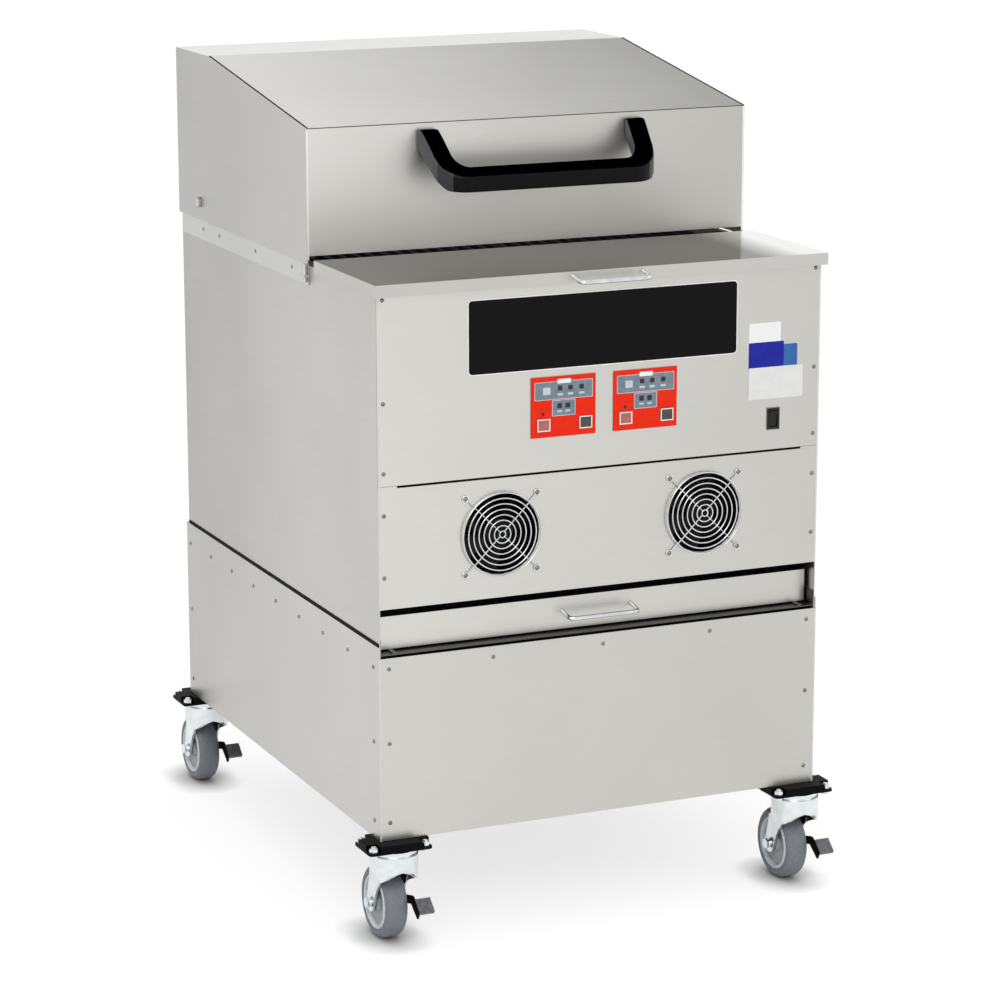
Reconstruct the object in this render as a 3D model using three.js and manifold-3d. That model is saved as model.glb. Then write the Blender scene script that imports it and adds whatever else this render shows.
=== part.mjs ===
// A pellet charbroiler on casters: a cabinet with a hopper lid in front, a hinged hood behind,
// two fans, two controllers, a drip drawer and a stand.
// Millimetres, +Z up, +X to the right of the front face, +Y to the back, floor at zero.
import * as THREE from 'three';
import { mergeVertices } from 'three/addons/utils/BufferGeometryUtils.js';
import Module from 'manifold-3d';

const wasm = await Module();
wasm.setup();

// Sheet metal and fits
const sheet = 1.5;
const fit = 0.3;
const overrun = 6;

// Casters
const casterInsetSide = 23;
const casterInsetFront = 9;
const casterInsetBack = 8;
const mountWidth = 92;
const mountDepth = 60;
const mountThickness = 12;
const mountCorner = 6;
const mountPlate = 3.5;
const mountNotch = 16;
const wheelRadius = 51;
const wheelWidth = 32;
const wheelHeadroom = 23;
const treadShoulder = 5;
const rimRadius = 36;
const rimHollow = 3;
const hubRadius = 13;
const axleRadius = 5;
const boltHeadRadius = 8;
const boltHeadHeight = 3;
const trail = 35;
const racewayRadius = 32;
const racewayHeight = 7.7;
const racewayLip = 3;
const forkThickness = 3;
const forkClearance = 2.5;
const forkTopHeight = 6;
const forkRadius = 33.5;
const forkSkirt = 8;
const forkShoulderDrop = 28;
const forkWaistDrop = 52;
const forkArchReach = 14;
const forkArchDrop = 36;
const forkEndFront = 20;
const forkEndRadius = 13;
const kingpinRadius = 8;
const brakeThickness = 2.7;
const brakeArmHeight = 12;
const brakeEyeRadius = 10;
const brakeElbowReach = 42;
const brakeElbowRise = 11;
const brakeReach = 70;
const brakeNoseDrop = 4;
const pedalWidth = 19.5;
const pedalDepth = 23;
const pedalThickness = 5;
const pedalReach = 65;
const pedalRise = 9;
const pedalTilt = 40;

// Stand
const standHalfWidth = 331;
const standFrontOverhang = 1;
const standBackOverhang = 7;
const standHeight = 255;
const collarHeight = 16;
const angleLeg = 30;
const angleThickness = 3;

// Cabinet
const cabinetDepth = 783;
const cabinetHeight = 492.7;
const flangeWidth = 20;
const drawerBayHeight = 66.7;
const lowerPanelHeight = 164.5;
const bayLip = 28;
const slotHeight = 3;
const slotInset = 27.2;
const glandAcross = 250;
const glandRise = 60;
const glandRadius = 14;
const glandBore = 6;
const glandLength = 12;
const glandDepth = 9;

// Drawer and its cradle
const drawerRecess = 20;
const drawerFrontLap = 3.5;
const drawerFrontHeight = 45;
const drawerSideGap = 7.9;
const drawerWallHeight = 40;
const drawerDepth = 640;
const cradleFront = 2;
const cradleDepth = 698;
const cradleLipHeight = 24.7;
const runnerInset = 13;
const runnerWidth = 6;
const runnerHeight = 2.5;
const cradleRise = 2.4;

// Wire pulls
const pullHalfSpan = 52;
const pullReach = 27;
const pullWireRadius = 3;
const pullBend = 10;
const pullDroop = 5;
const drawerPullRise = 25;
const lidPullDrop = 6;

// Fans
const fanAcross = 152;
const fanRise = 88;
const fanSize = 120;
const fanDepth = 38;
const fanBoreRadius = 57;
const fanOpeningRadius = 56;
const motorRadius = 21;
const motorDepth = 8;
const strutWidth = 6;
const strutDepth = 4;
const rotorHubRadius = 20;
const rotorSetback = 4;
const bladeTip = 53;
const bladeChord = 24;
const bladeThickness = 2;
const bladePitch = 35;
const screwSpacing = 105;

// Fan guards
const guardRadius = 52.3;
const guardWire = 1.2;
const guardPitch = 7.1;
const guardStandoff = 4.7;
const eyeletRadius = 4;

// Controllers
const controllerAcross = 61;
const controllerRise = 88;
const controllerWidth = 95;
const controllerHeight = 82.5;
const controllerFace = 1.5;
const controllerBoxWidth = 84;
const controllerBoxHeight = 72;
const controllerBoxDepth = 34;
const buttonWidth = 19;
const buttonHeight = 17;
const startButtonInset = 8.5;
const modeButtonInset = 5.5;
const buttonFootGap = 8.5;
const buttonProud = 0.8;
const buttonThickness = 2.6;
const buttonTravel = 1;

// Rocker switch
const switchAcross = 258;
const switchRise = 43.5;
const switchWidth = 18;
const switchHeight = 29;
const switchBezel = 1.7;
const switchBodyWidth = 15;
const switchBodyHeight = 26;
const switchBodyDepth = 24;
const rockerWidth = 12;
const rockerHeight = 22;
const rockerHollow = 1.2;
const rockerProud = 1.3;
const rockerDepth = 7;
const rockerTilt = 7;
const rockerWell = 12;

// Hopper
const hopperSideGap = 27.4;
const hopperFront = 12;
const hopperDepth = 193;
const hopperWallHeight = 93;
const hopperFunnelHeight = 100;
const hopperLedgeGap = 20;
const outletSize = 70;
const outletSetback = 120;

// Hopper lid and its hinge
const lidSideOverhang = 5.3;
const lidOverhang = 10;
const lidBackLap = 9;
const lidRise = 12.5;
const lidFlange = 16.5;
const lidBackFlange = 8.5;
const hingeRadius = 3.5;
const hingePin = 1.5;
const hingeDrop = 6;
const knuckleGap = 1;

// Firebox
const fireboxSideGap = 15.4;
const fireboxFrontGap = 14;
const fireboxBackGap = 18;
const fireboxHeight = 293;
const ashFunnelHeight = 125;
const ashOutletHalfWidth = 150;
const ashOutletDepth = 260;
const grateLedgeDrop = 20;
const grateLedgeWidth = 14;
const grateThickness = 12;
const grateClearance = 2;
const grateFrame = 14;
const grateBar = 9;
const baffleDrop = 131;
const baffleDepth = 360;
const baffleRise = 50;
const baffleThickness = 2;
const baffleLedge = 12;

// Fire pots and augers
const augerDrop = 253;
const tubeRadius = 30;
const tubeWall = 2;
const tubeFront = 75;
const tubeFlangeRadius = 45;
const tubeFlangeThickness = 3;
const spigotHeight = 59.7;
const gearWidth = 60;
const gearHeight = 66;
const gearDepth = 32;
const potWidth = 110;
const potHeight = 90;
const potWall = 4;
const potFloorDrop = 40;
const screwRadius = 24;
const screwShaft = 7;
const screwPitch = 42;
const screwFlight = 3;
const screwEndGap = 2;

// Hood
const hoodSideOverhang = 4.4;
const hoodFrontGap = 7;
const hoodBackOverhang = 1.5;
const hoodTopDepth = 146;
const hoodSideLift = 3;
const hoodFrontLift = 14;
const hoodFoldRise = 189;
const hoodTopRise = 249;
const hoodVentRise = 110;
const pivotInset = 96.5;
const pivotRise = 29.7;
const pivotRadius = 5;
const pivotHeadRadius = 8;
const pivotHeadHeight = 4;

// Hood handle
const handleHalfWidth = 170;
const handleArmWidth = 28;
const handleOuterBend = 30;
const handleInnerBend = 20;
const handleSplay = 4;
const handleReach = 80;
const handleBarDepth = 20;
const handleFootTop = 10;
const handleFootHeight = 27;
const handleFootFlat = 12;
const handleBrowReach = 56;
const handleBrowDrop = 16;
const handleBarHeight = 24;
const handleTopDrop = 55;
const handleBellyReach = 45;
const handleBellyDrop = 52;
const handleUndercut = 10;

// Hood rails
const railFrontGap = 4;
const railBackGap = 8;
const railHeight = 28;
const railLap = 2;
const earHalfDepth = 20;
const earRise = 50;
const stopTabReach = 6.5;
const stopTabDepth = 13;
const stopTabThickness = 3;
const stopTabDrop = 12;
const stopBoltRadius = 3;
const stopBoltDrop = 8;

// Repeats and smoothness
const wheelSides = 24;
const roundSides = 16;
const wireSides = 8;
const wireSteps = 20;
const arcSteps = 4;
const guardSides = 24;
const guardWireSides = 4;
const eyeletSides = 8;
const headSides = 6;
const bladeCount = 7;
const strutCount = 4;
const knuckleCount = 9;
const grateSlots = 14;
const flightSides = 7;

// Places worked out from the sizes
const axleHeight = wheelRadius * Math.cos(Math.PI / wheelSides);
const crownBottom = axleHeight + wheelRadius + wheelHeadroom;
const casterHeight = crownBottom + forkTopHeight + racewayHeight + fit + mountThickness;
const mountBottom = casterHeight - mountThickness;
const standBottom = casterHeight + fit;
const standTop = standBottom + standHeight;
const standFront = -standFrontOverhang;
const standBack = cabinetDepth + standBackOverhang;
const casterAcross = standHalfWidth - casterInsetSide;
const frameHalfWidth = standHalfWidth - sheet - fit;
const frameFront = standFront + sheet + fit;
const frameBack = standBack - sheet - fit;
const cabinetHalfWidth = frameHalfWidth;
const cabinetBottom = standTop + fit;
const cabinetTop = cabinetBottom + cabinetHeight;
const cabinetInside = cabinetHalfWidth - sheet - fit;
const slotHalfWidth = cabinetHalfWidth - slotInset;
const panelBottom = cabinetBottom + drawerBayHeight;
const slotBottom = panelBottom + lowerPanelHeight;
const slotTop = slotBottom + slotHeight;
const rimBottom = cabinetTop - sheet;
const cradleFloor = cabinetBottom + cradleRise;
const cradleTop = cradleFloor + sheet + runnerHeight;
const drawerBottom = cradleTop + fit;
const drawerBoxHalfWidth = cabinetInside - drawerSideGap;
const drawerFrontHalfWidth = drawerBoxHalfWidth + drawerFrontLap;
const runnerAcross = drawerBoxHalfWidth - runnerInset;
const hopperHalfWidth = cabinetInside - hopperSideGap;
const hopperBack = hopperFront + hopperDepth;
const lidHalfWidth = cabinetHalfWidth + lidSideOverhang;
const lidBack = hopperBack + lidBackLap;
const hopperLedgeBack = lidBack + hopperLedgeGap;
const lidTop = cabinetTop + lidRise;
const hingeHeight = lidTop - hingeDrop;
const hingeBack = lidBack + hingeRadius + fit;
const hingeHalfLength = hopperHalfWidth;
const hoodHalfWidth = cabinetHalfWidth + hoodSideOverhang;
const hoodFront = hopperLedgeBack + hoodFrontGap;
const hoodBack = cabinetDepth + hoodBackOverhang;
const hoodBreak = hoodBack - hoodTopDepth;
const railFront = hoodFront + railFrontGap;
const railBack = cabinetDepth - railBackGap;
const fireboxHalfWidth = cabinetInside - fireboxSideGap;
const fireboxFront = hoodFront + fireboxFrontGap;
const fireboxBack = cabinetDepth - fireboxBackGap;
const augerHeight = cabinetTop - augerDrop;
const pivotBack = hoodBack - pivotInset;
const pivotHeight = cabinetTop + pivotRise;
const fireboxMiddle = (fireboxFront + fireboxBack) / 2;
const potFront = fireboxMiddle - potWidth / 2;
const tubeBack = potFront - fit;

// Finishes
const brushedSteel = { color: 0xc9c8c4, roughness: 0.38, metalness: 0.9 };
const sootySteel = { color: 0x8b8780, roughness: 0.55, metalness: 0.8 };
const castIron = { color: 0x2b2a29, roughness: 0.7, metalness: 0.6 };
const blackPlastic = { color: 0x1b1c1e, roughness: 0.45, metalness: 0 };
const redPlastic = { color: 0xf0300a, roughness: 0.4, metalness: 0 };
const greyRubber = { color: 0x75797f, roughness: 0.7, metalness: 0 };
const zinc = { color: 0xd5dbdc, roughness: 0.3, metalness: 0.9 };
const blackPaint = { color: 0x1c1c1d, roughness: 0.5, metalness: 0.1 };
const chrome = { color: 0xe2e4e4, roughness: 0.12, metalness: 1 };

// Solids
function solid(geometry) {
  const bare = geometry.clone();
  bare.deleteAttribute('normal');
  bare.deleteAttribute('uv');
  const merged = mergeVertices(bare);
  const vertProperties = merged.attributes.position.array;
  const triVerts = new Uint32Array(merged.index.array);
  return new wasm.Manifold(new wasm.Mesh({ numProp: 3, vertProperties, triVerts }));
}

function block(x0, x1, y0, y1, z0, z1) {
  const box = new THREE.BoxGeometry(x1 - x0, y1 - y0, z1 - z0);
  box.translate((x0 + x1) / 2, (y0 + y1) / 2, (z0 + z1) / 2);
  return solid(box);
}

const basisX = [new THREE.Vector3(0, 1, 0), new THREE.Vector3(0, 0, 1), new THREE.Vector3(1, 0, 0)];
const basisY = [new THREE.Vector3(1, 0, 0), new THREE.Vector3(0, 0, 1), new THREE.Vector3(0, -1, 0)];
const turnX = new THREE.Matrix4().makeBasis(...basisX);
const turnY = new THREE.Matrix4().makeBasis(...basisY);

function polygon(points) {
  return new THREE.Shape(points.map(([u, v]) => new THREE.Vector2(u, v)));
}

function roundedBox(u0, u1, v0, v1, radius) {
  const shape = new THREE.Shape();
  shape.absarc(u1 - radius, v0 + radius, radius, -Math.PI / 2, 0);
  shape.absarc(u1 - radius, v1 - radius, radius, 0, Math.PI / 2);
  shape.absarc(u0 + radius, v1 - radius, radius, Math.PI / 2, Math.PI);
  shape.absarc(u0 + radius, v0 + radius, radius, Math.PI, 1.5 * Math.PI);
  return shape;
}

function extruded(shape, depth) {
  return new THREE.ExtrudeGeometry(shape, { depth, bevelEnabled: false, curveSegments: arcSteps });
}

// Outline in (y, z), drawn out along x
function prismX(shape, x0, x1) {
  return solid(extruded(shape, x1 - x0).applyMatrix4(turnX).translate(x0, 0, 0));
}

// Outline in (x, z), drawn out along y
function prismY(shape, y0, y1) {
  return solid(extruded(shape, y1 - y0).applyMatrix4(turnY).translate(0, y1, 0));
}

// Outline in (x, y), drawn out along z
function prismZ(shape, z0, z1) {
  return solid(extruded(shape, z1 - z0).translate(0, 0, z0));
}

function roundX(radius, x0, x1, y, z, sides = roundSides) {
  const round = new THREE.CylinderGeometry(radius, radius, x1 - x0, sides);
  return solid(round.rotateZ(Math.PI / 2).translate((x0 + x1) / 2, y, z));
}

function roundY(radius, y0, y1, x, z, sides = roundSides) {
  const round = new THREE.CylinderGeometry(radius, radius, y1 - y0, sides);
  return solid(round.translate(x, (y0 + y1) / 2, z));
}

function roundZ(radius, z0, z1, x, y, sides = roundSides) {
  const round = new THREE.CylinderGeometry(radius, radius, z1 - z0, sides);
  return solid(round.rotateX(Math.PI / 2).translate(x, y, (z0 + z1) / 2));
}

// A four-sided funnel between two rectangles [x0, x1, y0, y1]
function frustum(lower, upper, z0, z1) {
  const corners = ([x0, x1, y0, y1], z) => [x0, y0, z, x1, y0, z, x1, y1, z, x0, y1, z];
  const positions = [...corners(lower, z0), ...corners(upper, z1)];
  const faces = [0, 2, 1, 0, 3, 2, 4, 5, 6, 4, 6, 7];
  for (let side = 0; side < 4; side += 1) {
    const next = (side + 1) % 4;
    faces.push(side, next, next + 4, side, next + 4, side + 4);
  }
  const geometry = new THREE.BufferGeometry();
  geometry.setAttribute('position', new THREE.Float32BufferAttribute(positions, 3));
  geometry.setIndex(faces);
  return solid(geometry);
}

function shrunk([x0, x1, y0, y1], wall) {
  return [x0 + wall, x1 - wall, y0 + wall, y1 - wall];
}

function joined(solids) {
  return solids.reduce((whole, next) => whole.add(next));
}

function cut(whole, solids) {
  return solids.reduce((left, next) => left.subtract(next), whole);
}

function mirrored(whole) {
  return whole.mirror([1, 0, 0]);
}

function piece(name, body, finish) {
  const mesh = body.getMesh();
  const geometry = new THREE.BufferGeometry();
  geometry.setAttribute('position', new THREE.Float32BufferAttribute(mesh.vertProperties, 3));
  geometry.setIndex(new THREE.Uint32BufferAttribute(mesh.triVerts, 1));
  const flat = geometry.toNonIndexed();
  flat.computeVertexNormals();
  const part = new THREE.Mesh(flat, new THREE.MeshStandardMaterial(finish));
  part.name = name;
  return part;
}

function group(parts, x = 0, y = 0, z = 0) {
  const holder = new THREE.Group();
  holder.add(...parts);
  holder.position.set(x, y, z);
  return holder;
}

// Stand: panels round an angle-iron frame
function standFrontPanel() {
  const body = block(-frameHalfWidth, frameHalfWidth, standFront, standFront + sheet, standBottom, standTop);
  return piece('base_front_panel', body, brushedSteel);
}

function standSidePanel(name, side) {
  const outer = standHalfWidth;
  const body = block(outer - sheet, outer, standFront, standBack, standBottom, standTop + collarHeight);
  return piece(name, side > 0 ? body : mirrored(body), brushedSteel);
}

function standBackPanel() {
  const top = standTop + collarHeight;
  const body = block(-frameHalfWidth, frameHalfWidth, standBack - sheet, standBack, standBottom, top);
  return piece('base_back_panel', body, brushedSteel);
}

function angleRing(z0, z1, shelf0, shelf1) {
  const ring = block(-frameHalfWidth, frameHalfWidth, frameFront, frameBack, z0, z1);
  const wall = angleThickness;
  const within = block(-frameHalfWidth + wall, frameHalfWidth - wall, frameFront + wall, frameBack - wall,
    shelf0, shelf1);
  const leg = angleLeg;
  const opening = block(-frameHalfWidth + leg, frameHalfWidth - leg, frameFront + leg, frameBack - leg,
    z0 - overrun, z1 + overrun);
  return cut(ring, [within, opening]);
}

function standFrame() {
  const lower = angleRing(standBottom, standBottom + angleLeg, standBottom + angleThickness, standTop);
  const upper = angleRing(standTop - angleLeg, standTop, standBottom, standTop - angleThickness);
  const posts = [];
  for (const side of [-1, 1]) {
    for (const end of [0, 1]) {
      const x = side * frameHalfWidth;
      const y = end ? frameBack : frameFront;
      const inX = x - side * angleLeg;
      const inY = end ? y - angleLeg : y + angleLeg;
      const post = block(Math.min(x, inX), Math.max(x, inX), Math.min(y, inY), Math.max(y, inY),
        standBottom, standTop);
      const coreX = x - side * angleThickness;
      const coreY = end ? y - angleThickness : y + angleThickness;
      const farX = coreX - side * angleLeg;
      const farY = end ? coreY - angleLeg : coreY + angleLeg;
      const core = block(Math.min(coreX, farX), Math.max(coreX, farX), Math.min(coreY, farY),
        Math.max(coreY, farY), standBottom - overrun, standTop + overrun);
      posts.push(cut(post, [core]));
    }
  }
  return piece('base_frame', joined([lower, upper, ...posts]), blackPaint);
}

// Cabinet: two sides, a back and two front panels
function cabinetSide(name, side) {
  const x = cabinetHalfWidth;
  const back = cabinetDepth;
  const step = sheet + fit;
  const outline = polygon([[0, cabinetBottom], [back, cabinetBottom], [back, cabinetTop],
    [step, cabinetTop], [step, panelBottom - fit], [0, panelBottom - fit]]);
  const wall = prismX(outline, x - sheet, x);
  const flange = block(x - flangeWidth, x, step, step + sheet, panelBottom + step, rimBottom - fit);
  const backFlange = block(x - flangeWidth, x, back - sheet - step, back - step, cabinetBottom,
    rimBottom - fit);
  const body = joined([wall, flange, backFlange]);
  return piece(name, side > 0 ? body : mirrored(body), brushedSteel);
}

function cabinetBackPanel() {
  const outer = cabinetHalfWidth - sheet - fit;
  const y = cabinetDepth;
  const wall = block(-outer, outer, y - sheet, y, cabinetBottom, cabinetTop);
  const z = cabinetBottom + glandRise;
  const ring = roundY(glandRadius, y - sheet, y + glandLength, glandAcross, z);
  const bore = roundY(glandBore, y + glandLength - glandDepth, y + glandLength + overrun, glandAcross, z);
  return piece('body_back_panel', cut(wall.add(ring), [bore]), brushedSteel);
}

function controllerPlace(side) {
  return [side * controllerAcross, slotTop + controllerRise];
}

function upperFrontPanel() {
  const x = cabinetHalfWidth;
  const wall = block(-x, x, 0, sheet, slotTop, cabinetTop);
  const openings = [-1, 1].map((side) => {
    const [cx, cz] = controllerPlace(side);
    const halfWidth = controllerBoxWidth / 2 + fit;
    const halfHeight = controllerBoxHeight / 2 + fit;
    return block(cx - halfWidth, cx + halfWidth, -overrun, overrun, cz - halfHeight, cz + halfHeight);
  });
  const halfWidth = switchBodyWidth / 2 + fit;
  const halfHeight = switchBodyHeight / 2 + fit;
  const cz = slotTop + switchRise;
  openings.push(block(switchAcross - halfWidth, switchAcross + halfWidth, -overrun, overrun,
    cz - halfHeight, cz + halfHeight));
  return piece('upper_front_panel', cut(wall, openings), brushedSteel);
}

function lowerFrontPanel() {
  const x = cabinetHalfWidth;
  const wall = block(-x, x, 0, sheet, panelBottom, slotTop - fit);
  const notch = block(-slotHalfWidth, slotHalfWidth, -overrun, overrun, slotBottom, slotTop + overrun);
  const lip = block(-cabinetInside, cabinetInside, 0, bayLip, panelBottom, panelBottom + sheet);
  const holes = [-1, 1].map((side) => roundY(fanOpeningRadius, -overrun, overrun, side * fanAcross,
    panelBottom + fanRise, guardSides));
  return piece('lower_front_panel', cut(wall.add(lip), [notch, ...holes]), brushedSteel);
}

// Drawer and its cradle
function drawerCradle() {
  const x = cabinetInside;
  const y0 = cradleFront;
  const y1 = cradleFront + cradleDepth;
  const floor = block(-x, x, y0, y1, cradleFloor, cradleFloor + sheet);
  const parts = [floor];
  for (const side of [-1, 1]) {
    const edge = side * x;
    const inner = side * (x - sheet);
    parts.push(block(Math.min(edge, inner), Math.max(edge, inner), y0, y1, cabinetBottom,
      cabinetBottom + cradleLipHeight));
    const centre = side * runnerAcross;
    parts.push(block(centre - runnerWidth / 2, centre + runnerWidth / 2, y0, y1, cradleFloor, cradleTop));
  }
  return piece('drawer_cradle', joined(parts), brushedSteel);
}

function drawerBox() {
  const x = drawerBoxHalfWidth;
  const y0 = drawerRecess;
  const y1 = drawerRecess + sheet + drawerDepth;
  const front = block(-drawerFrontHalfWidth, drawerFrontHalfWidth, y0, y0 + sheet, drawerBottom,
    drawerBottom + drawerFrontHeight);
  const tray = block(-x, x, y0, y1, drawerBottom, drawerBottom + drawerWallHeight);
  const inside = block(-x + sheet, x - sheet, y0 + sheet, y1 - sheet, drawerBottom + sheet,
    drawerBottom + drawerFrontHeight + overrun);
  return piece('drawer_box', cut(front.add(tray), [inside]), brushedSteel);
}

// A wire bent to a U: its feet on the panel at y zero, its bar in front
function wirePull(name) {
  const foot = new THREE.Vector3(pullHalfSpan, -fit, 0);
  const corner = new THREE.Vector3(pullHalfSpan, -pullReach, -pullDroop);
  const along = foot.clone().sub(corner).setLength(pullBend).add(corner);
  const across = new THREE.Vector3(pullHalfSpan - pullBend, -pullReach, -pullDroop);
  const flip = (point) => new THREE.Vector3(-point.x, point.y, point.z);
  const path = new THREE.CurvePath();
  path.add(new THREE.LineCurve3(foot, along));
  path.add(new THREE.QuadraticBezierCurve3(along, corner, across));
  path.add(new THREE.LineCurve3(across, flip(across)));
  path.add(new THREE.QuadraticBezierCurve3(flip(across), flip(corner), flip(along)));
  path.add(new THREE.LineCurve3(flip(along), flip(foot)));
  const round = new THREE.Shape().absarc(0, 0, pullWireRadius, 0, 2 * Math.PI);
  const wire = new THREE.ExtrudeGeometry(round, { steps: wireSteps, curveSegments: wireSides / 2,
    bevelEnabled: false, extrudePath: path });
  const far = pullHalfSpan + overrun;
  const low = pullDroop + overrun;
  return piece(name, solid(wire).subtract(block(-far, far, -fit, overrun, -low, low)), chrome);
}

// Fans
function fanFrame(name) {
  const half = fanSize / 2;
  const y0 = sheet + fit;
  const y1 = y0 + fanDepth;
  const housing = prismY(roundedBox(-half, half, -half, half, strutWidth), y0, y1);
  const bore = roundY(fanBoreRadius, y0 - overrun, y1 + overrun, 0, 0, guardSides);
  const motor = roundY(motorRadius, y1 - motorDepth, y1, 0, 0);
  const struts = [];
  for (let index = 0; index < strutCount; index += 1) {
    const turn = index * 360 / strutCount;
    const strut = block(0, fanBoreRadius + fit, y1 - strutDepth, y1, -strutWidth / 2, strutWidth / 2);
    struts.push(strut.rotate([0, turn, 0]));
  }
  return piece(name, joined([cut(housing, [bore]), motor, ...struts]), blackPlastic);
}

function fanRotor(name) {
  const y0 = sheet + fit + rotorSetback;
  const y1 = sheet + fit + fanDepth - motorDepth - fit;
  const hub = roundY(rotorHubRadius, y0, y1, 0, 0);
  const blades = [];
  for (let index = 0; index < bladeCount; index += 1) {
    const blade = block(rotorHubRadius / 2, bladeTip, -bladeThickness / 2, bladeThickness / 2,
      -bladeChord / 2, bladeChord / 2);
    const pitched = blade.rotate([bladePitch, 0, 0]).translate([0, (y0 + y1) / 2, 0]);
    blades.push(pitched.rotate([0, index * 360 / bladeCount, 0]));
  }
  return piece(name, joined([hub, ...blades]), blackPlastic);
}

function wireRing(radius, wire, y, x, z, sides) {
  const profile = [];
  for (let index = 0; index <= guardWireSides; index += 1) {
    const turn = index / guardWireSides * 2 * Math.PI;
    profile.push(new THREE.Vector2(radius + wire * Math.cos(turn), wire * Math.sin(turn)));
  }
  return solid(new THREE.LatheGeometry(profile, sides).translate(x, y, z));
}

// Concentric wire rings welded on four diagonal arms, each with a screw eyelet at its end
function fanGuard(name) {
  const rings = [];
  for (let radius = guardRadius; radius > guardPitch; radius -= guardPitch) {
    rings.push(wireRing(radius, guardWire, -guardStandoff, 0, 0, guardSides));
  }
  const innermost = guardRadius % guardPitch + guardPitch;
  const corner = screwSpacing / Math.SQRT2;
  const eyeletY = -fit - guardWire;
  const armY = (eyeletY - guardStandoff) / 2;
  const arms = [];
  for (let index = 0; index < 4; index += 1) {
    const arm = roundZ(guardWire, innermost, corner - eyeletRadius, 0, armY, guardWireSides);
    const eyelet = wireRing(eyeletRadius, guardWire, eyeletY, 0, corner, eyeletSides);
    arms.push(arm.add(eyelet).rotate([0, 45 + 90 * index, 0]));
  }
  return piece(name, joined([...rings, ...arms]), chrome);
}

// Controllers: a face on the panel, a box behind it and two push buttons in pockets
function buttonPlace(side) {
  const inset = side > 0 ? modeButtonInset : startButtonInset;
  return [side * (controllerWidth / 2 - inset - buttonWidth / 2),
    -controllerHeight / 2 + buttonFootGap + buttonHeight / 2];
}

function controllerBody(name) {
  const halfWidth = controllerWidth / 2;
  const halfHeight = controllerHeight / 2;
  const front = -fit - controllerFace;
  const face = block(-halfWidth, halfWidth, front, -fit, -halfHeight, halfHeight);
  const box = block(-controllerBoxWidth / 2, controllerBoxWidth / 2, -fit - controllerFace / 2,
    controllerBoxDepth, -controllerBoxHeight / 2, controllerBoxHeight / 2);
  const pockets = [-1, 1].map((side) => {
    const [cx, cz] = buttonPlace(side);
    const w = buttonWidth / 2 + fit;
    const h = buttonHeight / 2 + fit;
    const floor = front - buttonProud + buttonThickness + buttonTravel + fit;
    return block(cx - w, cx + w, front - overrun, floor, cz - h, cz + h);
  });
  return piece(name, cut(face.add(box), pockets), redPlastic);
}

function pushButton(name, side) {
  const [cx, cz] = buttonPlace(side);
  const front = -fit - controllerFace - buttonProud;
  const w = buttonWidth / 2;
  const h = buttonHeight / 2;
  const body = block(-w, w, front, front + buttonThickness, -h, h);
  const button = piece(name, body, side > 0 ? blackPlastic : redPlastic);
  button.position.set(cx, 0, cz);
  return button;
}

// Rocker switch
function switchHousing() {
  const halfWidth = switchWidth / 2;
  const halfHeight = switchHeight / 2;
  const bezel = block(-halfWidth, halfWidth, -switchBezel, -fit, -halfHeight, halfHeight);
  const box = block(-switchBodyWidth / 2, switchBodyWidth / 2, -switchBezel / 2, switchBodyDepth,
    -switchBodyHeight / 2, switchBodyHeight / 2);
  const w = rockerWidth / 2 + fit;
  const h = rockerHeight / 2 + fit;
  const well = block(-w, w, -switchBezel - overrun, rockerWell, -h, h);
  return piece('switch_housing', cut(bezel.add(box), [well]), blackPlastic);
}

// A rocker with a hollow face, built about its pivot and tipped to one side
function switchRocker() {
  const half = rockerHeight / 2;
  const outline = polygon([[0, -half], [rockerDepth, -half / 2], [rockerDepth, half / 2], [0, half],
    [rockerHollow, 0]]);
  const body = prismX(outline, -rockerWidth / 2, rockerWidth / 2).rotate([rockerTilt, 0, 0]);
  const rocker = piece('switch_rocker', body, blackPlastic);
  rocker.position.set(0, -rockerProud, 0);
  return rocker;
}

// Hopper, its lid and the hinge between them
function hopperHalf(side, wall) {
  const inner = side > 0 ? [0, hopperHalfWidth] : [-hopperHalfWidth, 0];
  const cx = side * fanAcross;
  const half = outletSize / 2;
  const lower = [cx - half, cx + half, outletSetback - half, outletSetback + half];
  const upper = [...inner, hopperFront, hopperBack];
  const top = cabinetTop - hopperWallHeight;
  return [shrunk(lower, wall), shrunk(upper, wall), top - hopperFunnelHeight, top];
}

function hingeSpans(moving) {
  const pitch = 2 * hingeHalfLength / knuckleCount;
  const spans = [];
  for (let index = moving ? 1 : 0; index < knuckleCount; index += 2) {
    const start = -hingeHalfLength + index * pitch;
    spans.push([start + knuckleGap / 2, start + pitch - knuckleGap / 2]);
  }
  return spans;
}

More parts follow.
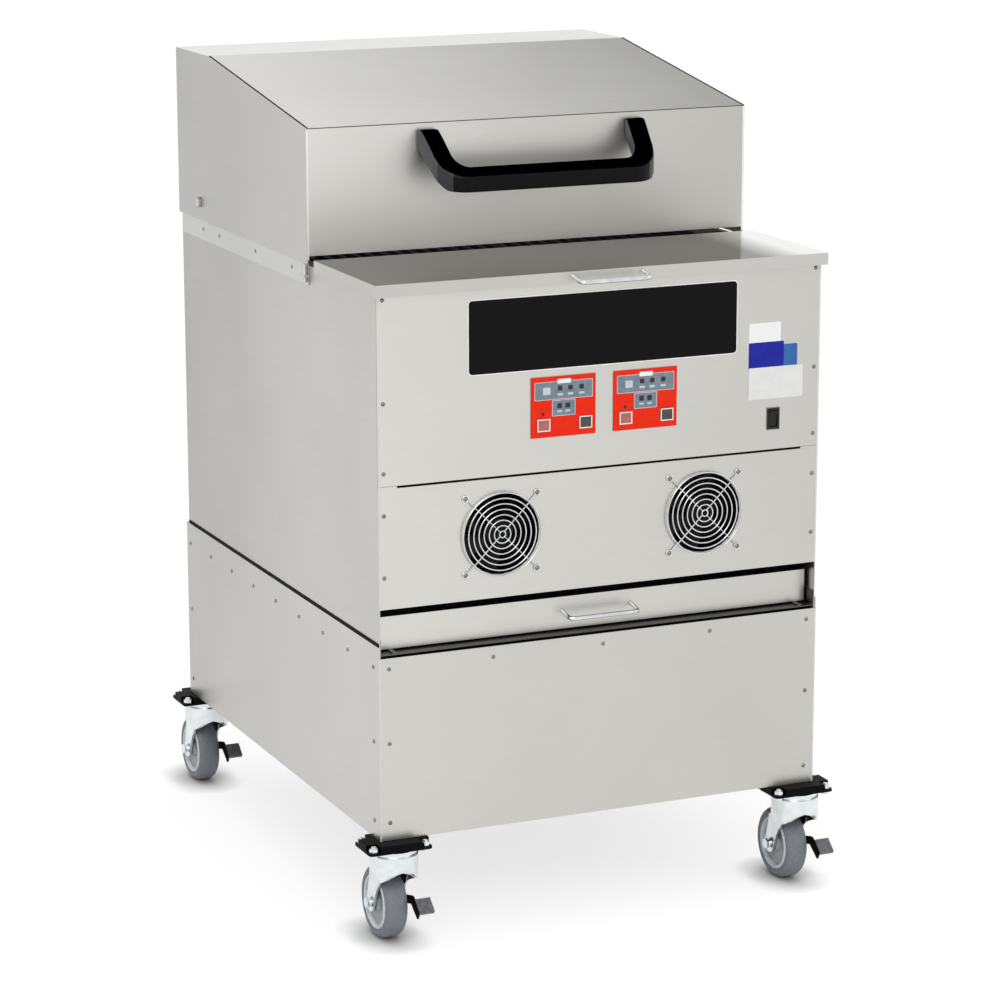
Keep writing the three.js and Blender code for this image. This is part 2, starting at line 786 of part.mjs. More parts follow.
function hopperBin() {
  const top = cabinetTop - hopperWallHeight;
  const w = hopperHalfWidth;
  const outer = [block(-w, w, hopperFront, hopperBack, top, cabinetTop)];
  const inner = [block(-w + sheet, w - sheet, hopperFront + sheet, hopperBack - sheet, top,
    cabinetTop + overrun)];
  for (const side of [-1, 1]) {
    const [lower, upper, z0, z1] = hopperHalf(side, 0);
    outer.push(frustum(lower, upper, z0, z1));
    const [lowerIn, upperIn] = hopperHalf(side, sheet);
    inner.push(frustum(lowerIn, upperIn, z0, z1));
    const [x0, x1, y0, y1] = lowerIn;
    inner.push(block(x0, x1, y0, y1, z0 - overrun, z0 + sheet));
  }
  const rim = block(-cabinetInside, cabinetInside, sheet + fit, hopperLedgeBack, rimBottom, cabinetTop);
  const knuckles = hingeSpans(false).map(([x0, x1]) => {
    const barrel = roundX(hingeRadius, x0, x1, hingeBack, hingeHeight, wireSides);
    const half = hingePin;
    return barrel.add(block(x0, x1, hingeBack - half, hingeBack + half, rimBottom, hingeHeight));
  });
  const pin = roundX(hingePin, -hingeHalfLength + sheet, hingeHalfLength - sheet, hingeBack, hingeHeight,
    wireSides);
  const body = cut(joined([...outer, rim]), inner);
  return piece('hopper_bin', joined([body, ...knuckles, pin]), brushedSteel);
}

function hopperLid() {
  const x = lidHalfWidth;
  const y0 = -lidOverhang;
  const bottom = lidTop - lidFlange;
  const outer = block(-x, x, y0, lidBack, bottom, lidTop);
  const inner = block(-x + sheet, x - sheet, y0 + sheet, lidBack - sheet, bottom - overrun, lidTop - sheet);
  const backCut = block(-x + sheet, x - sheet, lidBack - sheet - fit, lidBack + overrun,
    bottom - overrun, lidTop - lidBackFlange);
  const shell = cut(outer, [inner, backCut]);
  const knuckles = hingeSpans(true).map(([x0, x1]) => {
    const barrel = roundX(hingeRadius, x0, x1, hingeBack, hingeHeight, wireSides);
    const leaf = block(x0, x1, lidBack - sheet, hingeBack, hingeHeight, hingeHeight + hingePin);
    return cut(barrel.add(leaf), [roundX(hingePin + fit, x0 - overrun, x1 + overrun, hingeBack,
      hingeHeight, wireSides)]);
  });
  return piece('hopper_lid', joined([shell, ...knuckles]), brushedSteel);
}

// Firebox: a rim on the cabinet, four walls, an ash funnel, a ledge for the grates, one for the baffle
function firebox() {
  const w = fireboxHalfWidth;
  const plan = [-w, w, fireboxFront, fireboxBack];
  const bottom = cabinetTop - fireboxHeight;
  const outletFront = fireboxMiddle - ashOutletDepth / 2;
  const outlet = [-ashOutletHalfWidth, ashOutletHalfWidth, outletFront, outletFront + ashOutletDepth];
  const walls = block(...plan, bottom, cabinetTop);
  const inside = block(...shrunk(plan, sheet), bottom, cabinetTop + overrun);
  const funnel = frustum(outlet, plan, bottom - ashFunnelHeight, bottom);
  const within = frustum(shrunk(outlet, sheet), shrunk(plan, sheet), bottom - ashFunnelHeight, bottom);
  const [x0, x1, y0, y1] = shrunk(outlet, sheet);
  const mouth = block(x0, x1, y0, y1, bottom - ashFunnelHeight - overrun, bottom - ashFunnelHeight + sheet);
  const rim = block(-cabinetInside, cabinetInside, hopperLedgeBack + fit, cabinetDepth - sheet - fit,
    rimBottom, cabinetTop);
  const shell = cut(joined([walls, funnel, rim]), [inside, within, mouth]);
  const ledgeTop = cabinetTop - grateLedgeDrop;
  const ledge = cut(block(...plan, ledgeTop - sheet, ledgeTop),
    [block(...shrunk(plan, grateLedgeWidth), ledgeTop - overrun, ledgeTop + overrun)]);
  const baffleBottom = cabinetTop - baffleDrop;
  const halfBaffle = baffleDepth / 2;
  const rests = [-1, 1].map((side) => {
    const edge = side * (w - sheet / 2);
    const inner = side * (w - baffleLedge);
    return block(Math.min(edge, inner), Math.max(edge, inner), fireboxMiddle - halfBaffle,
      fireboxMiddle + halfBaffle, baffleBottom - fit - sheet, baffleBottom - fit);
  });
  const holes = [-1, 1].map((side) => roundY(tubeRadius + fit, fireboxFront - overrun,
    fireboxFront + overrun, side * fanAcross, augerHeight));
  return piece('firebox', cut(joined([shell, ledge, ...rests]), holes), sootySteel);
}

function heatBaffle() {
  const x = fireboxHalfWidth - sheet - grateClearance;
  const z = cabinetTop - baffleDrop;
  const half = baffleDepth / 2;
  const t = baffleThickness;
  const y = fireboxMiddle;
  const outline = polygon([[y - half, z], [y - half + t, z], [y, z + baffleRise - t],
    [y + half - t, z], [y + half, z], [y, z + baffleRise]]);
  return piece('heat_baffle', prismX(outline, -x, x), sootySteel);
}

function cookingGrate(name, side) {
  const x0 = grateClearance / 2;
  const x1 = fireboxHalfWidth - sheet - grateClearance;
  const y0 = fireboxFront + sheet + grateClearance;
  const y1 = fireboxBack - sheet - grateClearance;
  const z0 = cabinetTop - grateLedgeDrop + fit;
  const pitch = (x1 - x0 - grateBar) / grateSlots;
  const slots = [];
  for (let index = 0; index < grateSlots; index += 1) {
    const left = x0 + grateBar + index * pitch;
    slots.push(block(left, left + pitch - grateBar, y0 + grateFrame, y1 - grateFrame,
      z0 - overrun, z0 + grateThickness + overrun));
  }
  const body = cut(block(x0, x1, y0, y1, z0, z0 + grateThickness), slots);
  return piece(name, side > 0 ? body : mirrored(body), castIron);
}

// Fire pots and augers, built about the auger's axis
function firePot(name) {
  const half = potWidth / 2;
  const y1 = potFront + potWidth;
  const pot = block(-half, half, potFront, y1, -potFloorDrop, potHeight - potFloorDrop);
  const inside = block(-half + potWall, half - potWall, potFront + potWall, y1 - potWall,
    -potFloorDrop + potWall, potHeight);
  const inlet = roundY(tubeRadius - tubeWall, potFront - overrun, potFront + overrun, 0, 0);
  return piece(name, cut(pot, [inside, inlet]), castIron);
}

function augerDrive(name) {
  const tube = roundY(tubeRadius, tubeFront, tubeBack, 0, 0);
  const flangeBack = fireboxFront - fit;
  const flange = roundY(tubeFlangeRadius, flangeBack - tubeFlangeThickness, flangeBack, 0, 0);
  const gear = block(-gearWidth / 2, gearWidth / 2, tubeFront - gearDepth, tubeFront + tubeWall,
    -gearHeight / 2, gearHeight / 2);
  const half = outletSize / 2;
  const spigot = block(-half, half, outletSetback - half, outletSetback + half, 0, spigotHeight);
  const bore = roundY(tubeRadius - tubeWall, tubeFront + tubeWall, tubeBack + overrun, 0, 0);
  const throat = block(-half + tubeWall, half - tubeWall, outletSetback - half + tubeWall,
    outletSetback + half - tubeWall, tubeRadius - tubeWall - overrun, spigotHeight + overrun);
  return piece(name, cut(joined([tube, flange, gear, spigot]), [bore, throat]), zinc);
}

function flight(length) {
  const turns = length / screwPitch;
  const count = Math.round(turns * flightSides);
  const positions = [];
  const faces = [];
  for (let index = 0; index <= count; index += 1) {
    const turn = index / count * turns * 2 * Math.PI;
    const y = index / count * length;
    for (const [radius, lift] of [[0, 0], [1, 0], [1, 1], [0, 1]]) {
      const reach = screwShaft / 2 + radius * (screwRadius - screwShaft / 2);
      positions.push(reach * Math.cos(turn), y + lift * screwFlight, -reach * Math.sin(turn));
    }
  }
  for (let index = 0; index < count; index += 1) {
    for (let corner = 0; corner < 4; corner += 1) {
      const a = index * 4 + corner;
      const b = index * 4 + (corner + 1) % 4;
      const split = corner === 2 ? [a, a + 4, b + 4, a, b + 4, b] : [a, a + 4, b, b, a + 4, b + 4];
      faces.push(...split);
    }
  }
  const last = count * 4;
  faces.push(0, 1, 2, 0, 2, 3, last, last + 2, last + 1, last, last + 3, last + 2);
  const geometry = new THREE.BufferGeometry();
  geometry.setAttribute('position', new THREE.Float32BufferAttribute(positions, 3));
  geometry.setIndex(faces);
  return solid(geometry);
}

function auger(name) {
  const y0 = tubeFront + tubeWall + fit;
  const y1 = tubeBack - screwEndGap;
  const shaft = roundY(screwShaft, y0, y1, 0, 0, wireSides);
  const screw = flight(y1 - y0 - screwEndGap - screwFlight).translate([0, y0 + screwEndGap, 0]);
  return piece(name, shaft.add(screw), zinc);
}

// Hood: one folded shell, open below and at the back
function hoodOutline(inset) {
  const front = hoodFront + inset;
  const back = hoodBack - inset;
  const bottom = cabinetTop + hoodSideLift - (inset ? overrun : 0);
  const fold = cabinetTop + hoodFoldRise - inset;
  const top = cabinetTop + hoodTopRise - inset;
  return polygon([[front, bottom], [back, bottom], [back, top], [hoodBreak, top], [front, fold]]);
}

function hoodShell() {
  const x = hoodHalfWidth;
  const outer = prismX(hoodOutline(0), -x, x);
  const inner = prismX(hoodOutline(sheet), -x + sheet, x - sheet);
  const low = cabinetTop - overrun;
  const frontCut = block(-x + sheet, x - sheet, hoodFront - overrun, hoodFront + overrun,
    low, cabinetTop + hoodFrontLift);
  const vent = block(-x + sheet, x - sheet, hoodBack - overrun, hoodBack + overrun,
    low, cabinetTop + hoodVentRise);
  const hole = roundX(pivotRadius + fit, -x - overrun, x + overrun, pivotBack, pivotHeight);
  return piece('hood_shell', cut(outer, [inner, frontCut, vent, hole]), brushedSteel);
}

function handleSide() {
  const back = hoodFront - fit;
  const footTop = cabinetTop + hoodFoldRise - handleFootTop;
  const footBottom = footTop - handleFootHeight;
  const front = hoodFront - handleReach;
  const edgeTop = footTop - handleTopDrop;
  const shape = new THREE.Shape();
  shape.moveTo(back, footBottom);
  shape.lineTo(back, footTop);
  shape.lineTo(back - handleFootFlat, footTop);
  shape.quadraticCurveTo(hoodFront - handleBrowReach, footTop - handleBrowDrop, front, edgeTop);
  shape.lineTo(front, edgeTop - handleBarHeight);
  shape.quadraticCurveTo(hoodFront - handleBellyReach, footTop - handleBellyDrop, back - handleUndercut,
    footBottom - handleUndercut);
  return shape;
}

// Seen from above: two arms that splay from their feet and bend into the bar
function handlePlan(back) {
  const foot = handleHalfWidth;
  const end = handleHalfWidth + handleSplay;
  const front = hoodFront - handleReach;
  const bend = handleOuterBend;
  const shape = new THREE.Shape();
  shape.moveTo(foot, back);
  shape.lineTo(end, front + bend);
  shape.quadraticCurveTo(end, front, end - bend, front);
  shape.lineTo(bend - end, front);
  shape.quadraticCurveTo(-end, front, -end, front + bend);
  shape.lineTo(-foot, back);
  return shape;
}

function hoodHandle() {
  const x = handleHalfWidth + handleSplay;
  const back = hoodFront - fit;
  const low = cabinetTop;
  const high = cabinetTop + hoodTopRise;
  const band = prismX(handleSide(), -x, x);
  const plan = prismZ(handlePlan(back), low, high);
  const window = handleHalfWidth - handleArmWidth;
  const inner = handleInnerBend;
  const barBack = hoodFront - handleReach + handleBarDepth;
  const opening = prismZ(roundedBox(-window, window, barBack, back + 2 * inner, inner),
    low - overrun, high + overrun);
  return piece('hood_handle', cut(band.intersect(plan), [opening]), blackPlastic);
}

// Side rail with the hood's pivot and front stop
function hoodRail(name, side) {
  const x0 = cabinetHalfWidth + fit;
  const x1 = x0 + sheet;
  const top = cabinetTop + railLap;
  const strip = block(x0, x1, railFront, railBack, top - railHeight, top);
  const ear = block(x0, x1, pivotBack - earHalfDepth, pivotBack + earHalfDepth, top - railHeight,
    cabinetTop + earRise);
  const bolt = roundX(pivotRadius, x0, hoodHalfWidth + fit + pivotHeadHeight, pivotBack, pivotHeight);
  const head = roundX(pivotHeadRadius, hoodHalfWidth + fit, hoodHalfWidth + fit + pivotHeadHeight,
    pivotBack, pivotHeight, headSides);
  const tabTop = cabinetTop - stopTabDrop;
  const tab = block(x0, x1 + stopTabReach, railFront, railFront + stopTabDepth,
    tabTop - stopTabThickness, tabTop);
  const boltX = x1 + stopTabReach / 2;
  const boltY = railFront + stopTabDepth / 2;
  const stop = roundZ(stopBoltRadius, tabTop - stopTabThickness - stopBoltDrop,
    cabinetTop + hoodSideLift - fit, boltX, boltY, wireSides);
  const body = joined([strip, ear, bolt, head, tab, stop]);
  return piece(name, side > 0 ? body : mirrored(body), zinc);
}

// Casters, built about the swivel axis with the floor at zero
// A thin plate under a block whose corners leave room for the bolts
function casterMount(name) {
  const w = mountWidth / 2;
  const d = mountDepth / 2;
  const seam = mountBottom + mountPlate;
  const plate = prismZ(roundedBox(-w, w, -d, d, mountCorner), mountBottom, casterHeight);
  const notches = [];
  for (const [x0, x1] of [[-w - overrun, mountNotch - w], [w - mountNotch, w + overrun]]) {
    for (const [y0, y1] of [[-d - overrun, mountNotch - d], [d - mountNotch, d + overrun]]) {
      notches.push(block(x0, x1, y0, y1, seam, casterHeight + overrun));
    }
  }
  return piece(name, cut(plate, notches), blackPaint);
}

// A round cup that narrows downwards to the width over the two flat legs, less a wall
function forkCup(wall, top, legs) {
  const radius = forkRadius - wall;
  const foot = legs - wall;
  const shoulder = mountBottom - forkShoulderDrop;
  const waist = mountBottom - forkWaistDrop;
  const low = axleHeight - overrun;
  const width = polygon([[-foot, low], [foot, low], [foot, waist], [radius, shoulder], [radius, top],
    [-radius, top], [-radius, shoulder], [-foot, waist]]);
  const drum = roundZ(radius, low, top, 0, 0, guardSides);
  return drum.intersect(prismY(width, -radius, radius));
}

// Seen from the side: a skirt all round, an arch open to the front and a leg swept back to the axle
function forkSide(low) {
  const skirt = low - forkTopHeight - forkSkirt;
  const waist = mountBottom - forkWaistDrop;
  const outline = new THREE.Shape();
  outline.moveTo(-forkRadius, low);
  outline.lineTo(-forkRadius, skirt);
  outline.quadraticCurveTo(-forkRadius + forkSkirt, low - forkArchDrop, -forkArchReach, low - forkArchDrop);
  outline.quadraticCurveTo(forkEndFront - forkSkirt, waist, forkEndFront, axleHeight);
  outline.absarc(trail, axleHeight, forkEndRadius, Math.PI, 2 * Math.PI);
  outline.quadraticCurveTo(trail, waist, forkRadius, skirt);
  outline.lineTo(forkRadius, low);
  return outline;
}

function casterFork(name) {
  const top = mountBottom - fit;
  const low = top - racewayHeight;
  const raceway = roundZ(racewayRadius, low + racewayLip, top, 0, 0, guardSides);
  const lip = roundZ(racewayRadius - racewayLip, low, low + racewayLip, 0, 0, guardSides);
  const inner = wheelWidth / 2 + forkClearance;
  const outer = inner + forkThickness;
  const shell = forkCup(0, low, outer).subtract(forkCup(forkThickness, low - forkTopHeight, outer));
  const side = forkSide(low);
  const between = block(-inner, inner, -forkArchReach, forkRadius + overrun, 0,
    low - forkTopHeight - forkSkirt);
  const cup = shell.intersect(prismX(side, -forkRadius, forkRadius)).subtract(between);
  const behind = block(inner, outer, 0, trail + 2 * forkEndRadius, 0, low - forkArchDrop);
  const leg = prismX(side, inner, outer).intersect(behind);
  const kingpin = roundZ(kingpinRadius, low - forkTopHeight, low + fit, 0, 0);
  const end = outer + brakeThickness + 2 * fit + boltHeadHeight;
  const axle = roundX(axleRadius, -end, end, trail, axleHeight);
  const heads = [-1, 1].map((side) => {
    const edge = side * end;
    const start = edge - side * boltHeadHeight;
    return roundX(boltHeadRadius, Math.min(edge, start), Math.max(edge, start), trail, axleHeight, headSides);
  });
  const body = joined([raceway, lip, cup, kingpin, leg, mirrored(leg), axle, ...heads]);
  return piece(name, body, zinc);
}

function casterWheel(name) {
  const w = wheelWidth / 2;
  const bore = axleRadius + fit;
  const shoulder = wheelRadius - treadShoulder;
  const web = w - rimHollow;
  const half = [[bore, w], [hubRadius, w], [hubRadius, web], [rimRadius, web], [rimRadius, w],
    [shoulder, w], [wheelRadius, w - treadShoulder]];
  const other = half.map(([radius, y]) => [radius, -y]).reverse();
  const profile = [...half, ...other, half[0]].map(([radius, y]) => new THREE.Vector2(radius, y));
  const turned = new THREE.LatheGeometry(profile.reverse(), wheelSides, Math.PI / wheelSides);
  const wheel = piece(name, solid(turned.rotateZ(-Math.PI / 2)), greyRubber);
  wheel.position.set(0, trail, axleHeight);
  return wheel;
}

// Brake lever, built about the axle: an arm with its nose bent down and a tilted pedal on it
function casterBrake(name) {
  const x0 = wheelWidth / 2 + forkClearance + forkThickness + fit;
  const x1 = x0 + brakeThickness;
  const half = brakeArmHeight / 2;
  const arm = prismX(polygon([[0, half], [-brakeElbowReach, brakeElbowRise + half],
    [-brakeElbowReach - half, brakeElbowRise + half], [-brakeReach, -brakeNoseDrop + half],
    [-brakeReach + half, -brakeNoseDrop - half], [-brakeElbowReach, brakeElbowRise - half], [0, -half]]),
    x0, x1);
  const eye = roundX(brakeEyeRadius, x0, x1, 0, 0);
  const bore = roundX(axleRadius + fit, x0 - overrun, x1 + overrun, 0, 0);
  const flat = block(x0, x1 + pedalWidth, -pedalDepth / 2, pedalDepth / 2, -pedalThickness, 0);
  const pedal = flat.rotate([pedalTilt, 0, 0]).translate([0, -pedalReach, pedalRise]);
  const brake = piece(name, cut(joined([arm, eye, pedal]), [bore]), blackPaint);
  brake.position.set(0, trail, axleHeight);
  return brake;
}

function caster(place) {
  return [casterMount(`caster_mount_${place}`), casterFork(`caster_fork_${place}`),
    casterWheel(`caster_wheel_${place}`), casterBrake(`caster_brake_${place}`)];
}

// Assembly
const model = new THREE.Group();
model.add(standFrontPanel(), standSidePanel('base_side_left', -1), standSidePanel('base_side_right', 1));
model.add(standBackPanel(), standFrame(), drawerCradle());
model.add(cabinetSide('body_side_left', -1), cabinetSide('body_side_right', 1), cabinetBackPanel());
model.add(upperFrontPanel(), lowerFrontPanel(), hopperBin(), firebox(), heatBaffle());
model.add(cookingGrate('cooking_grate_left', -1), cookingGrate('cooking_grate_right', 1));
model.add(hopperLid(), group([wirePull('lid_pull')], 0, -lidOverhang, lidTop - lidPullDrop));
const drawerPull = group([wirePull('drawer_pull')], 0, drawerRecess, drawerBottom + drawerPullRise);
model.add(drawerBox(), drawerPull);
model.add(hoodShell(), hoodHandle(), hoodRail('hood_rail_left', -1), hoodRail('hood_rail_right', 1));
model.add(group([switchHousing(), switchRocker()], switchAcross, 0, slotTop + switchRise));

for (const [label, side] of [['left', -1], ['right', 1]]) {
  const fanParts = [fanFrame(`fan_frame_${label}`), fanRotor(`fan_rotor_${label}`),
    fanGuard(`fan_guard_${label}`)];
  model.add(group(fanParts, side * fanAcross, 0, panelBottom + fanRise));
  const feedParts = [firePot(`fire_pot_${label}`), augerDrive(`auger_drive_${label}`),
    auger(`auger_${label}`)];
  model.add(group(feedParts, side * fanAcross, 0, augerHeight));
  const [x, z] = controllerPlace(side);
  const controls = [controllerBody(`controller_${label}`), pushButton(`start_button_${label}`, -1),
    pushButton(`mode_button_${label}`, 1)];
  model.add(group(controls, x, 0, z));
  model.add(group(caster(`front_${label}`), side * casterAcross, standFront + casterInsetFront, 0));
  model.add(group(caster(`rear_${label}`), side * casterAcross, standBack - casterInsetBack, 0));
}

// The origin is under the middle of the whole part
const reach = new THREE.Box3().setFromObject(model);
const middle = reach.getCenter(new THREE.Vector3());
model.position.set(-middle.x, -middle.y, 0);
model.updateMatrixWorld(true);

export default model;
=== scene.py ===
"""Dresses the pellet charbroiler: finishes, fasteners, blanks, wheels, light and camera."""
import math
import bpy
import numpy as np
from mathutils import Matrix, Vector


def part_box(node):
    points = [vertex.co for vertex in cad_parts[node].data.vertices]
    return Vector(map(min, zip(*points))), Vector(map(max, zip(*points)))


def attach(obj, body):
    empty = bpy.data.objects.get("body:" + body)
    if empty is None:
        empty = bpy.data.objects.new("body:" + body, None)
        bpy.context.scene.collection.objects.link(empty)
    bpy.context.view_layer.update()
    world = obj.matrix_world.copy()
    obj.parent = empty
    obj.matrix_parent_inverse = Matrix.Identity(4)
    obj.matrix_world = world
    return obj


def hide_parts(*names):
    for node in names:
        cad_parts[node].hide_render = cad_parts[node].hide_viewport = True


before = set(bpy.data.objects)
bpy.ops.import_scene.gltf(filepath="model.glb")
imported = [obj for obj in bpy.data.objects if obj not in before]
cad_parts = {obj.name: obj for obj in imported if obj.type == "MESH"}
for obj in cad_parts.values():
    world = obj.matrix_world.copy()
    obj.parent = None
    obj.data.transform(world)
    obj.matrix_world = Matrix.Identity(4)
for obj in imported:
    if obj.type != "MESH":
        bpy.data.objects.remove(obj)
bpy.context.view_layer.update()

# Units: metres in the scene, millimetres in the values below
MM = 0.001

# Photograph's camera
PHOTO_PIXELS = 1000
SENSOR_MM = 36
FOCAL_PIXELS = 3464.2
CAMERA_AZIMUTH = -23.75
CAMERA_ELEVATION = 13.16
CAMERA_ROLL = -0.06
CAMERA_DISTANCE = 5101.7
CAMERA_AIM = (28.5, 0.0, 501.6)

# Heads of the fasteners: radius and height. Those on the rails are lower, for the hood's side to pass
RIVET = (3.0, 1.4)
RAIL_RIVET = (3.0, 0.8)
SCREW = (3.0, 1.6)
GUARD_SCREW = (3.2, 2.2)

# Rounding of the edges of sheet, of stamped pieces and of castings
SHEET_EDGE = 0.45
STAMPED_EDGE = 0.8
CAST_EDGE = 1.2
# Least angle in degrees of an edge that is rounded
ROUNDED_ANGLE = 40

SIDES = (("left", -1), ("right", 1))
ENDS = ("front", "rear")


def place(x, y, z):
    """A point in millimetres as a vector in metres."""
    return Vector((x, y, z)) * MM


def limits(name):
    """The lowest and highest corner of a CAD node, in millimetres."""
    low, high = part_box(name)
    return low / MM, high / MM


def linear(code):
    """A hex sRGB colour as linear RGBA."""
    channels = [int(code[i:i + 2], 16) / 255 for i in (1, 3, 5)]
    return [c / 12.92 if c <= 0.04045 else ((c + 0.055) / 1.055) ** 2.4 for c in channels] + [1.0]


def grey(value):
    """A linear grey as RGBA."""
    return [value, value, value, 1.0]


# Node helpers
def add(tree, kind, settings=None, places=None, **inputs):
    """One node with its settings, and its inputs by name, or by place where several share a name."""
    node = tree.nodes.new(kind)
    for key, value in (settings or {}).items():
        setattr(node, key, value)
    named = {key.replace("_", " "): value for key, value in inputs.items()}
    for key, value in {**(places or {}), **named}.items():
        socket = node.inputs[key]
        if isinstance(value, bpy.types.NodeSocket):
            tree.links.new(value, socket)
        else:
            socket.default_value = value
    return node


def plain(name, colour, roughness, metallic=0.0, shine=0.5):
    """A principled material with its tree and shader."""
    material = bpy.data.materials.new(name)
    material.use_nodes = True
    tree = material.node_tree
    shader = next(node for node in tree.nodes if node.type == "BSDF_PRINCIPLED")
    shader.inputs["Base Color"].default_value = linear(colour)
    shader.inputs["Roughness"].default_value = roughness
    shader.inputs["Metallic"].default_value = metallic
    shader.inputs["Specular IOR Level"].default_value = shine
    return material, tree, shader


def noise(tree, width, stretch=(1, 1, 1), detail=3.0):
    """Noise in object coordinates with spots of this width in millimetres, stretched along the axes."""
    where = add(tree, "ShaderNodeTexCoord")
    mapped = add(tree, "ShaderNodeMapping", Vector=where.outputs["Object"], Scale=stretch)
    return add(tree, "ShaderNodeTexNoise", Vector=mapped.outputs["Vector"], Scale=1 / (width * MM),
               Detail=detail)


def blend(tree, value, span, dark, light):
    """A colour that goes from dark to light as the value goes over the span."""
    share = add(tree, "ShaderNodeMapRange", Value=value, From_Min=span[0], From_Max=span[1])
    # The places of the colour sockets among those of the other data types
    colours = {0: share.outputs["Result"], 6: dark, 7: light}
    return add(tree, "ShaderNodeMix", {"data_type": "RGBA"}, colours).outputs[2]


# Brushed sheet: the real grain is about 0.1 mm wide, drawn coarser so that it shows as faint streaks
GRAIN_WIDTH = 1.1
CLOUD_WIDTH = 200
GRAIN_DEPTH = 0.06
GRAIN_BUMP = 0.008
GRAIN_X = (0.02, 1, 1)
GRAIN_Y = (1, 0.02, 1)
# Values of the noise between which streaks and spots go from dark to light
STREAK_SPAN = (0.3, 0.7)
SPOT_SPAN = (0.35, 0.65)


def brushed(name, near, far, run, grain, roughness=(0.3, 0.4), painted_glance=None):
    """Brushed stainless sheet, whose tone goes from near to far along run: painted light and reflection
    across the sheet.

    run is an axis and the two places on it in millimetres between which the tone changes.
    The last argument holds the near and far strength of what the sheet mirrors at a flat angle: a painted
    reflection, set by place along run."""
    smooth, rough = roughness
    material, tree, shader = plain(name, near, smooth, 1.0)
    axis, first, last = run
    span = (first * MM, last * MM)
    where = add(tree, "ShaderNodeTexCoord")
    along = add(tree, "ShaderNodeSeparateXYZ", Vector=where.outputs["Object"]).outputs[axis]
    tone = blend(tree, along, span, linear(near), linear(far))
    if painted_glance:
        edge = blend(tree, along, span, grey(painted_glance[0]), grey(painted_glance[1]))
        tree.links.new(edge, shader.inputs["Specular Tint"])
    streaks = noise(tree, GRAIN_WIDTH, grain, 4.0).outputs["Fac"]
    clouds = noise(tree, CLOUD_WIDTH, detail=2.0).outputs["Fac"]
    both = add(tree, "ShaderNodeMix", {"data_type": "FLOAT"}, Factor=0.5, A=streaks, B=clouds)
    mixed = both.outputs["Result"]
    depth = blend(tree, mixed, STREAK_SPAN, grey(1 - GRAIN_DEPTH), grey(1.0))
    shaded = add(tree, "ShaderNodeVectorMath", {"operation": "MULTIPLY"}, {0: tone, 1: depth})
    tree.links.new(shaded.outputs["Vector"], shader.inputs["Base Color"])
    dull = blend(tree, mixed, STREAK_SPAN, grey(rough), grey(smooth))
    tree.links.new(dull, shader.inputs["Roughness"])
    bumps = add(tree, "ShaderNodeBump", Strength=GRAIN_BUMP, Distance=MM, Height=streaks)
    tree.links.new(bumps.outputs["Normal"], shader.inputs["Normal"])
    return material


def mottled(name, dark, light, roughness, width, bump=0.1, metallic=0.0, shine=0.5):
    """A finish with spots of two near colours, this many millimetres wide, and a fine texture."""
    material, tree, shader = plain(name, light, roughness, metallic, shine)
    spots = noise(tree, width).outputs["Fac"]
    colour = blend(tree, spots, SPOT_SPAN, linear(dark), linear(light))
    tree.links.new(colour, shader.inputs["Base Color"])
    bumps = add(tree, "ShaderNodeBump", Strength=bump, Distance=MM, Height=spots)
    tree.links.new(bumps.outputs["Normal"], shader.inputs["Normal"])
    return material


# Brushed stainless sheet: satin, with a tone that drifts slowly along each wide panel: painted light across
# the panel
STEEL_FRONT = brushed("steel_front", "#d3d2cd", "#c5c4bf", ("X", -330, 330), GRAIN_X)
STEEL_BASE = brushed("steel_base", "#cbcac5", "#c5c3be", ("X", -330, 200), GRAIN_X)
STEEL_LID = brushed("steel_lid", "#c4c3bf", "#c5c4bf", ("X", -330, 330), GRAIN_X)
# The same sheet on the sides, brushed from front to back and darker towards the back: painted shade
STEEL_SIDE = brushed("steel_side", "#c4c3bf", "#afaeaa", ("Y", -200, 370), GRAIN_Y)
STEEL_BASE_SIDE = brushed("steel_base_side", "#c8c7c3", "#b8b7b3", ("Y", -250, 370), GRAIN_Y)
STEEL_RAIL = brushed("steel_rail", "#cacac6", "#c3c3bf", ("Y", -170, 370), GRAIN_Y, (0.28, 0.38))
# Sheet of the hood, a little smoother, and duller on the front that hands touch. Its faces are lit and
# shaded copies of one sheet: painted shade darkens the side towards the back and the front towards the
# right, the slope runs from a painted bright reflection at its left to painted shade at its right, and the
# flat roof is painted light
STEEL_HOOD_SIDE = brushed("steel_hood_side", "#bfbebb", "#b2b1ae", ("Y", -170, 370), GRAIN_Y, (0.28, 0.36))
STEEL_HOOD_FRONT = brushed("steel_hood_front", "#dad9d5", "#bab9b4", ("X", -330, 300), GRAIN_X, (0.36, 0.44))
STEEL_SLOPE = brushed("steel_slope", "#d4d3cf", "#93928e", ("X", -300, 300), GRAIN_X, (0.28, 0.36))
STEEL_ROOF = brushed("steel_roof", "#e4e4e1", "#dfdfdc", ("X", -330, 330), GRAIN_X, (0.28, 0.36))
# Top of the lid, polished. Its colour is painted reflection: dark where it mirrors the hood over most of its
# width, a painted bright reflection of open air at its right end, and its mirroring painted weaker at the
# left
STEEL_LID_TOP = brushed("steel_lid_top", "#96958c", "#f0f0ee", ("X", 235, 300), GRAIN_X, (0.12, 0.17),
                        painted_glance=(0.64, 1.0))
# Sheet of the drawer bay, dark with painted shade of the recess, its grain a little rougher from handling
STEEL_BAY = brushed("steel_bay", "#61605b", "#5b5a55", ("X", -330, 330), GRAIN_X, (0.35, 0.45))
# Sheet that the fire has tanned: dull, with soft patches
STEEL_SOOTY = mottled("steel_sooty", "#6f6a62", "#938d84", 0.55, 33, metallic=1.0)
# Rivets, screw heads and the frame of the switch: plain steel, darker than the polished sheet
RIVET_STEEL = mottled("rivet_steel", "#747571", "#868784", 0.35, 11, 0.05, metallic=1.0)
